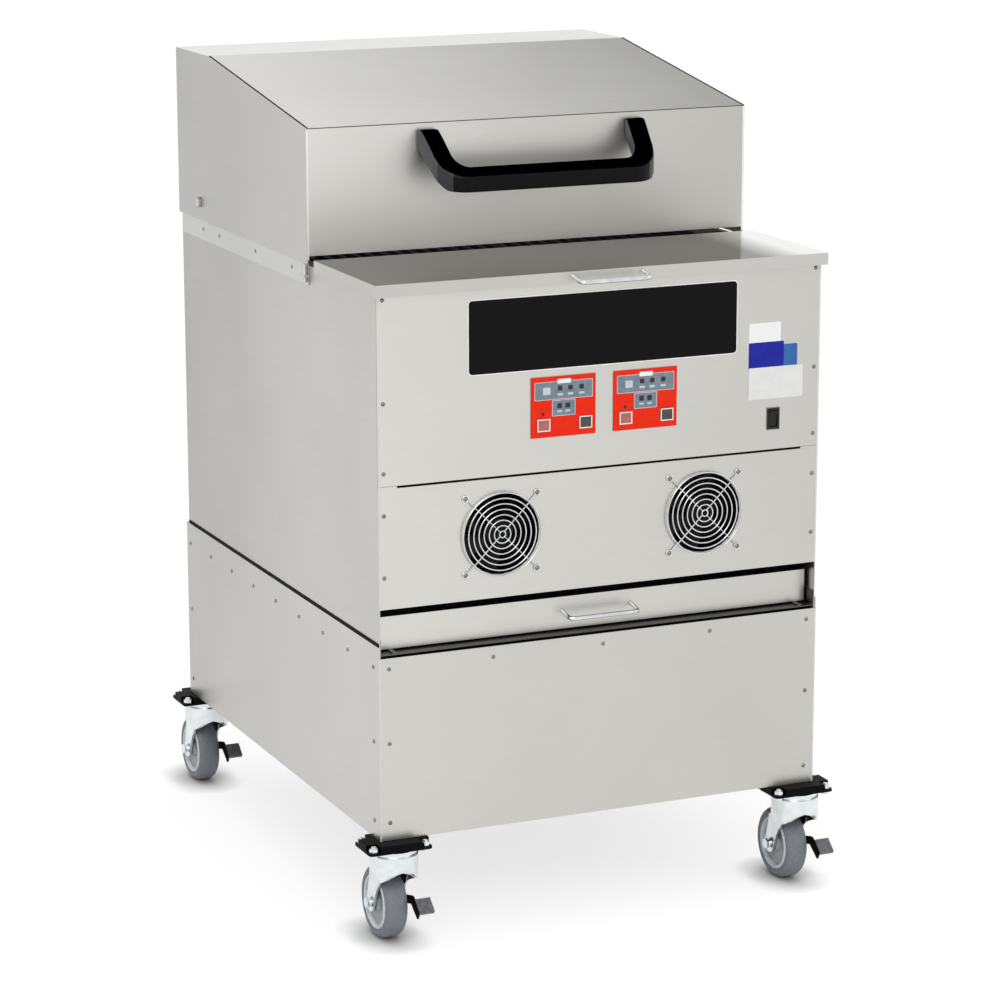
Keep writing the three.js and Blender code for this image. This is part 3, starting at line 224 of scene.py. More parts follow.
# Sand-cast iron, seasoned: rough and nearly black
IRON = mottled("cast_iron_grate", "#1d1c1b", "#33312f", 0.7, 3.8, 0.4, metallic=0.5)
# Black enamel paint: dull, with a faint orange peel
PAINT_BLACK = mottled("paint_black", "#040404", "#080808", 0.55, 3.3, shine=0.06)
# Moulded black plastic of the switch: low gloss, with a fine grain
PLASTIC_BLACK = mottled("plastic_black", "#0a0a0b", "#101011", 0.4, 2.0, 0.05, shine=0.3)
# Moulded black plastic of the fans: duller, so that the wires stand out before it
FAN_BLACK = mottled("fan_black", "#050505", "#090909", 0.5, 2.0, 0.05, shine=0.2)
# Moulded black plastic of the hood's handle: nearly black on the bar
HANDLE_BLACK = mottled("handle_black", "#020202", "#040404", 0.3, 1.7, 0.02, shine=0.12)
# Its top, with no reflection: painted shade that keeps it black
HANDLE_SHADED_TOP = mottled("handle_shaded_top", "#000000", "#010101", 0.7, 1.7, 0.02, shine=0.0)
# The sides of its legs, lighter grey: painted light, where the room's light falls on them
HANDLE_LIT_SIDE = mottled("handle_lit_side", "#47474a", "#505052", 0.4, 1.7, 0.02, shine=0.3)
# Its bends, a little lighter: a painted soft sheen
HANDLE_SHEEN = mottled("handle_sheen", "#29292b", "#303032", 0.3, 1.7, 0.02, shine=0.3)
# Printed polyester overlay in signal red: even, with hardly any gloss
OVERLAY_RED = mottled("overlay_red", "#db2304", "#e22806", 0.4, 8.3, 0.02, shine=0.15)
# Bright zinc plate: bluish white and faintly clouded
ZINC = mottled("zinc", "#dbe0e2", "#e6eaeb", 0.26, 14, 0.03, metallic=1.0)
# The same zinc between the legs of a fork, darkened with painted shade
ZINC_SHADE = mottled("zinc_shade", "#26282a", "#303234", 0.5, 14, 0.03, metallic=1.0)
# Polished wire: nearly a mirror
WIRE = mottled("wire_bright", "#c9cbcb", "#dcdddd", 0.2, 17, 0.02, metallic=1.0)
# Drawn wire of the guards' arms, a little rougher, and darker with painted shade as they lie behind the
# rings
WIRE_SHADED = mottled("wire_shaded", "#aeb0b0", "#bcbebe", 0.3, 17, 0.02, metallic=1.0)
# Grey thermoplastic rubber tread: matt, with a fine grain
TYRE = mottled("tyre_grey", "#6e7279", "#757a80", 0.6, 4.5, 0.08)
# Moulded polypropylene core of the wheel: paler and smoother than the tread
HUB = mottled("hub_grey", "#8f9397", "#9ea2a6", 0.45, 6.2, 0.06)
# Rim on each face of the core, paler than the core
RIM_PALE = mottled("rim_pale", "#c3c7c9", "#d2d5d7", 0.45, 6.2, 0.04)
# Brake pedal: moulded grey plastic, scuffed
PEDAL = mottled("pedal_grey", "#4f5254", "#66696b", 0.5, 5.0, 0.08)
# Name plate blank: black print, fairly smooth
PLATE_BLACK = mottled("plate_black", "#040404", "#070707", 0.3, 3.3, 0.02, shine=0.1)
# Edge of the name plate: bare pale film
PLATE_EDGE = mottled("plate_edge", "#ecece9", "#f4f4f2", 0.4, 8.0, 0.02)
# Label blanks: printed vinyl in plain white, blue and sky blue, and matt paper
LABEL_WHITE = mottled("label_white", "#e2e3e3", "#e6e7e7", 0.5, 12.0, 0.02)
LABEL_BLUE = mottled("label_blue", "#101a8c", "#152196", 0.45, 12.0, 0.02, shine=0.2)
LABEL_SKY = mottled("label_sky", "#2d5f9c", "#356aa6", 0.45, 12.0, 0.02, shine=0.2)
LABEL_PAPER = mottled("label_paper", "#d4d5d2", "#dadbd8", 0.6, 12.0, 0.02)
# Clear windows of the overlay, over grey: smooth, with a cool tone
WINDOW_GREY = mottled("window_grey", "#65737f", "#6f7f8c", 0.3, 7.0, 0.01)
# Printed marks and rims of the windows: pale ink
PALE_MARK = mottled("mark_pale", "#b1bdc5", "#bcc6cd", 0.4, 7.0, 0.01)
# Key caps: moulded plastic, one in a faded red and one nearly black
KEY_RED = mottled("key_red", "#9c5a50", "#a9665b", 0.4, 7.0, 0.02)
KEY_DARK = mottled("key_dark", "#3a3434", "#463f3f", 0.4, 7.0, 0.02)
# Lenses of unlit lamps: dark and smooth
LAMP_DARK = mottled("lamp_dark", "#160c0d", "#1e1213", 0.2, 3.0, 0.01)
# Open seam between folded sheets: a matt black line
SEAM_DARK = mottled("seam_dark", "#10100f", "#181817", 0.7, 3.0, 0.05, shine=0.1)
# Tighter seam along the front fold: a grey line
SEAM_FINE = mottled("seam_fine", "#3c3c3a", "#444442", 0.7, 3.0, 0.05, shine=0.1)
# Painted highlight of the rounded radius of a fold, a thin light line on the hood
FOLD_HIGHLIGHT = mottled("fold_highlight", "#e9e9e6", "#f0f0ee", 0.45, 14.0, 0.02, metallic=0.6)
# The same painted highlight on the cabinet and the stand, less bright
FOLD_EDGE_HIGHLIGHT = mottled("fold_edge_highlight", "#c9c9c4", "#cfcfca", 0.45, 14.0, 0.02, metallic=0.6)
# Matt black strip that stands for the shade in the gap above the stand's collar: painted shade
GAP_SHADE_BLACK = mottled("gap_shade_black", "#050505", "#080808", 0.7, 2.5, 0.1, shine=0.1)


# Object helpers
def linked(name, data):
    """A new object of this data in the scene."""
    made = bpy.data.objects.new(name, data)
    bpy.context.collection.objects.link(made)
    return made


def new_object(name, vertices, faces, material, smooth=False):
    """A mesh object from points in metres."""
    mesh = bpy.data.meshes.new(name)
    mesh.from_pydata([tuple(v) for v in vertices], [], faces)
    mesh.validate()
    mesh.materials.append(material)
    for face in mesh.polygons:
        face.use_smooth = smooth
    mesh.update()
    return linked(name, mesh)


def finish_piece(made, body):
    """Hangs a finished piece on its body."""
    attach(made, body)


def only_selected(pieces):
    """Selects these objects alone, the first of them active."""
    bpy.ops.object.select_all(action="DESELECT")
    for made in pieces:
        made.select_set(True)
    bpy.context.view_layer.objects.active = pieces[0]


def merged(name, pieces):
    """One object made of several mesh objects, with their materials."""
    only_selected(pieces)
    if len(pieces) > 1:
        bpy.ops.object.join()
    whole = bpy.context.view_layer.objects.active
    whole.name = name
    whole.data.name = name
    return whole


def face_out(made):
    """Turns a closed mesh's faces outwards."""
    only_selected([made])
    bpy.ops.object.mode_set(mode="EDIT")
    bpy.ops.mesh.select_all(action="SELECT")
    bpy.ops.mesh.normals_make_consistent(inside=False)
    bpy.ops.object.mode_set(mode="OBJECT")
    return made


def as_mesh(made, name, smooth=False):
    """Replaces an object by a plain mesh of what it evaluates to."""
    graph = bpy.context.evaluated_depsgraph_get()
    graph.update()
    mesh = bpy.data.meshes.new_from_object(made.evaluated_get(graph), depsgraph=graph)
    mesh.name = name
    # A mesh that comes from points alone starts with an empty material slot
    if mesh.materials and mesh.materials[0] is None:
        mesh.materials.pop(index=0)
        for face in mesh.polygons:
            face.material_index = 0
    bpy.data.objects.remove(made)
    if smooth:
        for face in mesh.polygons:
            face.use_smooth = True
    return linked(name, mesh)


def soften(made, width, segments):
    """Rounds the sharp edges by this many millimetres."""
    bevel = made.modifiers.new("edges", "BEVEL")
    bevel.width = width * MM
    bevel.segments = segments
    bevel.limit_method = "ANGLE"
    bevel.angle_limit = math.radians(ROUNDED_ANGLE)


# Shapes
def slab(name, low, high, material):
    """A closed box between two corners in millimetres."""
    (x0, y0, z0), (x1, y1, z1) = low, high
    corners = [place(x, y, z) for x in (x0, x1) for y in (y0, y1) for z in (z0, z1)]
    faces = [(0, 1, 3, 2), (4, 6, 7, 5), (0, 4, 5, 1), (2, 3, 7, 6), (0, 2, 6, 4), (1, 5, 7, 3)]
    return new_object(name, corners, faces, material)


def rim_bars(x, z, width, height, bar, y_front, y_back, material):
    """Four flat bars that make a frame of this outer width and height, in millimetres."""
    bars = []
    for sign in (-1, 1):
        across, up = sign * (width - bar) / 2, sign * (height - bar) / 2
        bars.append(slab("rim", (x - width / 2, y_front, z + up - bar / 2),
                         (x + width / 2, y_back, z + up + bar / 2), material))
        bars.append(slab("rim", (x + across - bar / 2, y_front, z - height / 2 + bar),
                         (x + across + bar / 2, y_back, z + height / 2 - bar), material))
    return bars


def rounded_outline(width, height, radius, steps=6):
    """Corner points of a rounded rectangle about zero, counter-clockwise."""
    points = []
    middles = ((1, 1, 0), (-1, 1, 90), (-1, -1, 180), (1, -1, 270))
    for across, up, start in middles:
        for step in range(steps + 1):
            turn = math.radians(start + 90 * step / steps)
            points.append((across * (width / 2 - radius) + radius * math.cos(turn),
                           up * (height / 2 - radius) + radius * math.sin(turn)))
    return points


def front_plate(name, x, z, width, height, radius, y_front, y_back, material):
    """A thin rounded plate that faces the front, in millimetres."""
    outline = rounded_outline(width, height, radius)
    count = len(outline)
    vertices = [place(x + u, y_front, z + v) for u, v in outline]
    vertices += [place(x + u, y_back, z + v) for u, v in outline]
    faces = [tuple(range(count)), tuple(reversed(range(count, 2 * count)))]
    for index in range(count):
        after = (index + 1) % count
        faces.append((index, index + count, after + count, after))
    return new_object(name, vertices, faces, material)


def turned(name, profile, centre, axis, material, segments=64, smooth_angle=35):
    """A closed profile of (radius, along) points turned about the axis X or Z through centre."""
    vertices, faces = [], []
    count = len(profile)
    for segment in range(segments):
        turn = 2 * math.pi * segment / segments
        for radius, along in profile:
            u, v = radius * math.cos(turn), radius * math.sin(turn)
            offset = (along, u, v) if axis == "X" else (u, v, along)
            vertices.append(place(*(Vector(centre) + Vector(offset))))
    for segment in range(segments):
        here, there = segment * count, (segment + 1) % segments * count
        for index in range(count):
            after = (index + 1) % count
            faces.append((here + index, there + index, there + after, here + after))
    made = new_object(name, vertices, faces, material, True)
    made.data.set_sharp_from_angle(angle=math.radians(smooth_angle))
    return face_out(made)


def wire(name, points, radius, material, bend=0.0, closed=False):
    """A round wire through points in millimetres, its corners rounded by bend."""
    bend_steps = 8
    line = []
    for index, point in enumerate(points):
        here = Vector(point)
        if bend and 0 < index < len(points) - 1:
            before = (Vector(points[index - 1]) - here).normalized() * bend + here
            after = (Vector(points[index + 1]) - here).normalized() * bend + here
            for step in range(bend_steps + 1):
                t = step / bend_steps
                line.append(before * (1 - t) ** 2 + here * 2 * t * (1 - t) + after * t * t)
        else:
            line.append(here)
    curve = bpy.data.curves.new(name, "CURVE")
    curve.dimensions = "3D"
    curve.bevel_depth = radius * MM
    curve.bevel_resolution = 4
    curve.use_fill_caps = True
    spline = curve.splines.new("POLY")
    spline.points.add(len(line) - 1)
    for target, point in zip(spline.points, line):
        target.co = (*(point * MM), 1.0)
    spline.use_cyclic_u = closed
    curve.materials.append(material)
    return as_mesh(linked(name, curve), name, True)


# Geometry Nodes patterns
def pattern_tree(name, inputs):
    """An empty geometry tree with its group sockets: (tree, inputs node, outputs node)."""
    tree = bpy.data.node_groups.new(name, "GeometryNodeTree")
    tree.interface.new_socket("Geometry", in_out="INPUT", socket_type="NodeSocketGeometry")
    for label, kind in inputs:
        tree.interface.new_socket(label, in_out="INPUT", socket_type=f"NodeSocket{kind}")
    tree.interface.new_socket("Geometry", in_out="OUTPUT", socket_type="NodeSocketGeometry")
    return tree, tree.nodes.new("NodeGroupInput"), tree.nodes.new("NodeGroupOutput")


def stud_tree():
    """Domed heads on the points of a mesh, turned to face one way."""
    tree, given, made = pattern_tree("stud_heads", (("Head Radius", "Float"), ("Head Height", "Float"),
                                                   ("Facing", "Rotation"), ("Finish", "Material")))
    radius, height = given.outputs["Head Radius"], given.outputs["Head Height"]
    ball = add(tree, "GeometryNodeMeshUVSphere", Segments=20, Rings=10, Radius=radius)
    ratio = add(tree, "ShaderNodeMath", {"operation": "DIVIDE"}, {0: height, 1: radius})
    flat = add(tree, "ShaderNodeCombineXYZ", X=1.0, Y=1.0, Z=ratio.outputs["Value"])
    head = add(tree, "GeometryNodeTransform", Geometry=ball.outputs["Mesh"], Scale=flat.outputs["Vector"])
    smooth = add(tree, "GeometryNodeSetShadeSmooth", Geometry=head.outputs["Geometry"])
    points = add(tree, "GeometryNodeMeshToPoints", Mesh=given.outputs["Geometry"])
    copies = add(tree, "GeometryNodeInstanceOnPoints", Points=points.outputs["Points"],
                 Instance=smooth.outputs["Geometry"], Rotation=given.outputs["Facing"])
    real = add(tree, "GeometryNodeRealizeInstances", Geometry=copies.outputs["Instances"])
    painted = add(tree, "GeometryNodeSetMaterial", Geometry=real.outputs["Geometry"],
                  Material=given.outputs["Finish"])
    tree.links.new(painted.outputs["Geometry"], made.inputs["Geometry"])
    return tree


def ring_tree():
    """Concentric wire rings: a row of circles, each wider than the last, made round wires."""
    tree, given, made = pattern_tree("wire_rings", (("Rings", "Int"), ("Pitch", "Float"),
                                                   ("First Radius", "Float"), ("Wire Radius", "Float"),
                                                   ("Finish", "Material")))
    row = add(tree, "GeometryNodeMeshLine", Count=given.outputs["Rings"], Offset=(0, 0, 0))
    points = add(tree, "GeometryNodeMeshToPoints", Mesh=row.outputs["Mesh"])
    number = add(tree, "GeometryNodeInputIndex")
    size = add(tree, "ShaderNodeMath", {"operation": "MULTIPLY_ADD"},
               {0: number.outputs["Index"], 1: given.outputs["Pitch"], 2: given.outputs["First Radius"]})
    circle = add(tree, "GeometryNodeCurvePrimitiveCircle", Resolution=72, Radius=1.0)
    copies = add(tree, "GeometryNodeInstanceOnPoints", Points=points.outputs["Points"],
                 Instance=circle.outputs["Curve"], Scale=size.outputs["Value"])
    real = add(tree, "GeometryNodeRealizeInstances", Geometry=copies.outputs["Instances"])
    section = add(tree, "GeometryNodeCurvePrimitiveCircle", Resolution=10,
                  Radius=given.outputs["Wire Radius"])
    tube = add(tree, "GeometryNodeCurveToMesh", Curve=real.outputs["Geometry"],
               Profile_Curve=section.outputs["Curve"])
    smooth = add(tree, "GeometryNodeSetShadeSmooth", Geometry=tube.outputs["Mesh"])
    painted = add(tree, "GeometryNodeSetMaterial", Geometry=smooth.outputs["Geometry"],
                  Material=given.outputs["Finish"])
    tree.links.new(painted.outputs["Geometry"], made.inputs["Geometry"])
    return tree


def shading_tree():
    """Smooth faces with sharp edges above an angle."""
    tree, given, made = pattern_tree("shade_by_angle", (("Angle", "Float"),))
    turn = add(tree, "GeometryNodeInputMeshEdgeAngle")
    sharp = add(tree, "FunctionNodeCompare", {"data_type": "FLOAT", "operation": "GREATER_THAN"},
                A=turn.outputs["Unsigned Angle"], B=given.outputs["Angle"])
    faces = add(tree, "GeometryNodeSetShadeSmooth", {"domain": "FACE"}, Geometry=given.outputs["Geometry"])
    edges = add(tree, "GeometryNodeSetShadeSmooth", {"domain": "EDGE"}, Geometry=faces.outputs["Geometry"],
                Selection=sharp.outputs["Result"], Shade_Smooth=False)
    tree.links.new(edges.outputs["Geometry"], made.inputs["Geometry"])
    return tree


STUDS = stud_tree()
RINGS = ring_tree()
SHADING = shading_tree()


def set_pattern(modifier, tree, **values):
    """Gives a Geometry Nodes modifier its tree and the values of the tree's named inputs."""
    modifier.node_group = tree
    sockets = {item.name: item.identifier for item in tree.interface.items_tree if item.in_out == "INPUT"}
    for key, value in values.items():
        modifier[sockets[key.replace("_", " ")]] = value


def pattern(name, tree, points, **values):
    """A plain mesh of what the tree makes on these points, in millimetres."""
    mesh = bpy.data.meshes.new(name)
    mesh.from_pydata([tuple(place(*p)) for p in points], [], [])
    base = linked(name + "_points", mesh)
    set_pattern(base.modifiers.new("pattern", "NODES"), tree, **values)
    return as_mesh(base, name)


FACINGS = {"front": (math.pi / 2, 0, 0), "back": (-math.pi / 2, 0, 0),
           "left": (0, -math.pi / 2, 0), "right": (0, math.pi / 2, 0)}


def studs(name, points, facing, head):
    """Heads of rivets or screws on the cabinet, as one piece. A head is its radius and height."""
    radius, height = head
    made = pattern(name, STUDS, points, Head_Radius=radius * MM, Head_Height=height * MM,
                   Facing=FACINGS[facing], Finish=RIVET_STEEL)
    finish_piece(made, "cabinet")


# Finishes of the CAD pieces
def dress(name, material, smooth_angle=30, rounding=SHEET_EDGE, others=()):
    """Gives a CAD piece its material, smooth round faces and lightly rounded edges.

    others holds pairs of a further material and the test(centre, normal) that its faces pass."""
    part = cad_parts[name]
    part.data.materials.clear()
    for finish in (material, *(other for other, _ in others)):
        part.data.materials.append(finish)
    if others:
        turn = part.matrix_world.to_3x3()
        for face in part.data.polygons:
            centre, normal = part.matrix_world @ face.center / MM, turn @ face.normal
            passed = [index for index, (_, test) in enumerate(others, 1) if test(centre, normal)]
            face.material_index = passed[0] if passed else 0
    weld = part.modifiers.new("weld", "WELD")
    weld.merge_threshold = 0.01 * MM
    if rounding:
        soften(part, rounding, 2)
    set_pattern(part.modifiers.new("shading", "NODES"), SHADING, Angle=math.radians(smooth_angle))
    even = part.modifiers.new("even", "WEIGHTED_NORMAL")
    even.keep_sharp = True


def dress_cabinet():
    """Stand, cabinet, drawer, lid, hood and what is inside them."""
    for name in ("body_back_panel", "upper_front_panel", "lower_front_panel", "drawer_box", "hopper_bin"):
        dress(name, STEEL_FRONT)
    for name in ("base_front_panel", "base_back_panel"):
        dress(name, STEEL_BASE)
    for name in ("firebox", "heat_baffle"):
        dress(name, STEEL_SOOTY)
    for name in ("switch_housing", "switch_rocker"):
        dress(name, PLASTIC_BLACK)
    # The cradle takes the sheet with painted shade
    dress("drawer_cradle", STEEL_BAY)
    dress("base_frame", PAINT_BLACK)
    for side, _ in SIDES:
        dress(f"base_side_{side}", STEEL_BASE_SIDE)
        dress(f"body_side_{side}", STEEL_SIDE)
        dress(f"hood_rail_{side}", STEEL_RAIL)
        dress(f"cooking_grate_{side}", IRON, rounding=CAST_EDGE)
        dress(f"fire_pot_{side}", IRON)
        dress(f"auger_drive_{side}", ZINC)
        dress(f"auger_{side}", ZINC, rounding=0)
        dress(f"fan_frame_{side}", FAN_BLACK)
        dress(f"fan_rotor_{side}", FAN_BLACK, rounding=0)
        dress(f"controller_{side}", OVERLAY_RED)
        dress(f"start_button_{side}", KEY_RED)
        dress(f"mode_button_{side}", KEY_DARK)
    # The lid's top faces take a copy of its sheet with painted reflection
    dress("hopper_lid", STEEL_LID, others=((STEEL_LID_TOP, lambda centre, normal: normal.z > 0.9),))
    # Each face of the hood takes a lit or shaded copy of its sheet by which way it faces: painted light and
    # shade
    dress("hood_shell", STEEL_HOOD_SIDE, others=(
        (STEEL_ROOF, lambda centre, normal: normal.z > 0.999),
        (STEEL_SLOPE, lambda centre, normal: normal.z > 0.9),
        (STEEL_HOOD_FRONT, lambda centre, normal: normal.y < -0.9)))


def dress_caster(end, side):
    """Mounting plate, fork with painted shade on its inner faces, and brake lever with its pedal."""
    where = f"{end}_{side}"
    smooth_angle, crown_height, pedal_start = 40, 24, 3.0
    low, high = limits(f"caster_fork_{where}")
    middle = (low.x + high.x) / 2
    crown = high.z - crown_height
    pedal = limits(f"caster_brake_{where}")[0].x + pedal_start

    def shaded_inner_face(centre, normal):
        """A face below the crown, off the middle, that looks back at the middle."""
        return centre.z < crown and (centre.x - middle) * normal.x < -1.0

    def pedal_face(centre, normal):
        """A face of the moulded pedal on the lever's end."""
        return centre.x > pedal

    dress(f"caster_mount_{where}", PAINT_BLACK, rounding=STAMPED_EDGE)
    dress(f"caster_fork_{where}", ZINC, smooth_angle, STAMPED_EDGE, ((ZINC_SHADE, shaded_inner_face),))
    dress(f"caster_brake_{where}", PAINT_BLACK, smooth_angle, STAMPED_EDGE, ((PEDAL, pedal_face),))


# Fan guards
def fan_guard(side):
    """Concentric rings on four arms, each with a screw in the eyelet at its end."""
    low, high = limits(f"fan_guard_{side}")
    x, z = (low.x + high.x) / 2, (low.z + high.z) / 2
    wire_radius, eyelet = 1.0, 4
    hole, eyelet_points = 52.5, 24
    count, inner_ring, pitch = 8, 4.5, 7.5
    arm_start, arm_knee, arm_end = inner_ring / math.sqrt(2), 41, hole - 2.8
    ring_y = low.y + wire_radius
    arm_y = ring_y + 1.8 * wire_radius
    panel_y = high.y - wire_radius
    rings = pattern(f"guard_rings_{side}", RINGS, [(0, 0, 0)], Rings=count, Pitch=pitch * MM,
                    First_Radius=inner_ring * MM, Wire_Radius=wire_radius * MM, Finish=WIRE)
    upright = Matrix.Rotation(math.pi / 2, 4, "X")
    rings.data.transform(Matrix.Translation(place(x, ring_y, z)) @ upright)
    parts = [rings]
    corners = [(across, up) for across in (-1, 1) for up in (-1, 1)]
    for across, up in corners:
        stations = ((arm_start, arm_y), (arm_knee, arm_y), (arm_end, panel_y))
        arm = [(x + across * reach, y, z + up * reach) for reach, y in stations]
        parts.append(wire("arm", arm, wire_radius, WIRE_SHADED))
        turns = [2 * math.pi * k / eyelet_points for k in range(eyelet_points)]
        loop = [(x + across * hole + eyelet * math.cos(turn), panel_y,
                 z + up * hole + eyelet * math.sin(turn)) for turn in turns]
        parts.append(wire("loop", loop, wire_radius, WIRE, closed=True))
    guard = merged(f"guard_{side}", parts)
    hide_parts(f"fan_guard_{side}")
    finish_piece(guard, "cabinet")
    points = [(x + across * hole, panel_y, z + up * hole) for across, up in corners]
    studs(f"guard_screws_{side}", points, "front", GUARD_SCREW)


# Wire pulls
def wire_pull(node, name, body):
    """A bent wire whose legs slope down from the sheet to the bar."""
    low, high = limits(node)
    radius, bend = 3.0, 9.0
    x0, x1 = low.x + radius, high.x - radius
    back, front = high.y, low.y + radius
    top, bottom = high.z - radius, low.z + radius
    points = [(x0, back, top), (x0, front, bottom), (x1, front, bottom), (x1, back, top)]
    made = wire(name, points, radius, WIRE, bend)
    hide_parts(node)
    finish_piece(made, body)


# Handle of the hood
def strap_handle():
    """A moulded strap: two sloping legs and a bar, with rounded corners in plan."""
    low, high = limits("hood_handle")
    reach = high.y - low.y
    foot, lean, arm, bar = high.x - 2, 5, 28, 20
    outer_bend, inner_bend = 42, 22
    leg, shoulder = reach - outer_bend, foot - lean
    steps = 8

    def top(out):
        return float(np.interp(out, (0, 10, 24, reach - bar, reach), (0, 0, -12, -46, -58)))

    def bottom(out):
        return float(np.interp(out, (0, 10, reach - bar, reach - bar + 8, reach), (-27, -32, -72, -78, -80)))

    # Stations of one half: (outer x, how far it stands out, inner x, how far that stands out)
    half = [(foot - lean * k / steps, leg * k / steps, foot - lean * k / steps - arm, leg * k / steps)
            for k in range(steps)]
    for k in range(steps + 1):
        turn = math.pi / 2 * k / steps
        half.append((shoulder - outer_bend * (1 - math.cos(turn)), leg + outer_bend * math.sin(turn),
                     shoulder - arm - inner_bend * (1 - math.cos(turn)), leg + inner_bend * math.sin(turn)))
    stations = [(-a, b, -c, d) for a, b, c, d in half] + [(a, b, c, d) for a, b, c, d in reversed(half)]
    vertices, faces, finishes = [], [], []
    for outer_x, outer, inner_x, inner in stations:
        for x, out, height in ((outer_x, outer, top(outer)), (inner_x, inner, top(inner)),
                               (inner_x, inner, bottom(inner)), (outer_x, outer, bottom(outer))):
            vertices.append(place(x, high.y - out, high.z + height))
    # Four strips along the strap: its top, inner side, underside and outer side
    over, under, outside = 0, 2, 3
    last = len(stations) - 1
    for index in range(last):
        here, there = 4 * index, 4 * index + 4
        from_end = min(index, last - 1 - index)
        for strip in range(4):
            after = (strip + 1) % 4
            faces.append((here + strip, here + after, there + after, there + strip))
            # Painted light by side: the top shaded black, the legs' sides lit, and the outer side at the
            # bends with a painted sheen
            if strip == over:
                finishes.append(HANDLE_SHADED_TOP)
            elif strip != under and from_end < steps + 2:
                finishes.append(HANDLE_LIT_SIDE)
            elif strip == outside and from_end < steps + 5:
                finishes.append(HANDLE_SHEEN)
            else:
                finishes.append(HANDLE_BLACK)
    faces += [(0, 1, 2, 3), tuple(4 * last + k for k in (3, 2, 1, 0))]
    finishes += [HANDLE_BLACK, HANDLE_BLACK]
    made = new_object("handle_strap", vertices, faces, HANDLE_BLACK, True)
    kinds = [HANDLE_BLACK, HANDLE_SHADED_TOP, HANDLE_LIT_SIDE, HANDLE_SHEEN]
    for finish in kinds[1:]:
        made.data.materials.append(finish)
    for face, finish in zip(made.data.polygons, finishes):
        face.material_index = kinds.index(finish)
    face_out(made)
    soften(made, 2.6, 3)
    strap = as_mesh(made, "handle_strap", True)
    strap.data.set_sharp_from_angle(angle=math.radians(50))
    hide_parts("hood_handle")
    finish_piece(strap, "hood")


# Casters
def caster_wheel(end, side):
    """Wheel: a rubber tread on a moulded core with a pale rim on each face."""
    where = f"{end}_{side}"
    low, high = limits(f"caster_wheel_{where}")
    centre = (low + high) / 2
    radius, half = (high.z - low.z) / 2, (high.x - low.x) / 2
    bore = 5.3
    tread = [(radius - 13, -half + 2), (radius - 6, -half), (radius - 2.5, -half + 2.5), (radius, -half + 7),
             (radius, half - 7), (radius - 2.5, half - 2.5), (radius - 6, half), (radius - 13, half - 2)]
    core = [(bore, -half), (12, -half), (13, -half + 1), (14.5, -half + 5), (radius - 18, -half + 5),
            (radius - 18, half - 5), (14.5, half - 5), (13, half - 1), (12, half), (bore, half)]
    parts = [turned("tyre", tread, centre, "X", TYRE), turned("hub", core, centre, "X", HUB)]
    for sign in (-1, 1):
        face = sign * half
        rim = [(radius - 18.5, face - sign * 6), (radius - 17.5, face - sign * 1.5), (radius - 16, face),
               (radius - 14, face), (radius - 12.6, face - sign * 1.4), (radius - 12.6, face - sign * 6)]
        parts.append(turned("rim", rim, centre, "X", RIM_PALE))
    wheel = merged(f"wheel_{where}", parts)
    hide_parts(f"caster_wheel_{where}")
    finish_piece(wheel, f"wheel_{where}")


def caster_bolts(end, side):
    """A nut on top of the mounting plate and a bolt's head below it, at each corner."""
    where = f"{end}_{side}"
    low, high = limits(f"caster_mount_{where}")
    inset, plate = 8.5, 3.5
    flats, axis, bolt_end, nut_top, bolt_top, head_depth = 6.4, 0.01, 3.6, 5.4, 7.6, 4
    nut = [(axis, 0), (flats, 0), (flats, nut_top), (bolt_end, nut_top + 0.2), (bolt_end, bolt_top),
           (axis, bolt_top)]
    head = [(axis, 0), (flats, 0), (flats - 0.8, -head_depth), (axis, -head_depth)]
    bolts = []
    for x in (low.x + inset, high.x - inset):
        for y in (low.y + inset, high.y - inset):
            bolts.append(turned("nut", nut, (x, y, low.z + plate), "Z", ZINC, 6))
            bolts.append(turned("head", head, (x, y, low.z), "Z", ZINC, 6))
    finish_piece(merged(f"caster_bolts_{where}", bolts), "cabinet")


# Rivets and screws
def stand_rivets():
    """A row under the top edge of each panel of the stand, and pairs lower down at its ends."""
    stand_low, stand_high = limits("base_front_panel")
    side_low, side_high = limits("base_side_right")
    rows = [stand_high.z - drop for drop in (15.0, 119.0, 230.0)]
    corner = 316
    front = [(x, stand_low.y, rows[0]) for x in (-corner, -164, 0, 164, corner)]
    front += [(x, stand_low.y, row) for x in (-corner, corner) for row in rows[1:]]
    studs("stand_rivets_front", front, "front", RIVET)
    studs("stand_rivets_back", [(x, side_high.y, z) for x, _, z in front], "back", RIVET)
    first, last = side_low.y + 19.6, side_high.y - 16.2
    gaps = 8
    steps = [first + (last - first) * k / gaps for k in range(gaps + 1)]
    for side, sign in SIDES:
        x = sign * side_high.x
        points = [(x, y, rows[0]) for y in steps] + [(x, y, row) for y in (first, last) for row in rows[1:]]
        studs(f"stand_rivets_{side}", points, side, RIVET)


def cabinet_screws():
    """Screws down both ends of the front and back panels."""
    low, high = limits("upper_front_panel")
    points = [(x, low.y, high.z - drop) for x in (-321, 321) for drop in (9, 147, 241, 298, 382.5)]
    studs("front_screws", points, "front", SCREW)
    _, high = limits("body_side_right")
    points = [(x, high.y, high.z - drop) for x in (-318, 318) for drop in (30, 160, 290, 420)]
    studs("back_screws", points, "back", SCREW)


def rail_rivets():
    """Four rivets along each rail of the hood."""
    side_low, side_high = limits("body_side_right")
    rail_thickness, height = 1.8, 16
    for side, sign in SIDES:
        x = sign * (side_high.x + rail_thickness)
        z = limits(f"hood_rail_{side}")[0].z + height
        points = [(x, side_low.y + along, z) for along in (309, 457, 611, 682)]
        studs(f"rail_rivets_{side}", points, side, RAIL_RIVET)


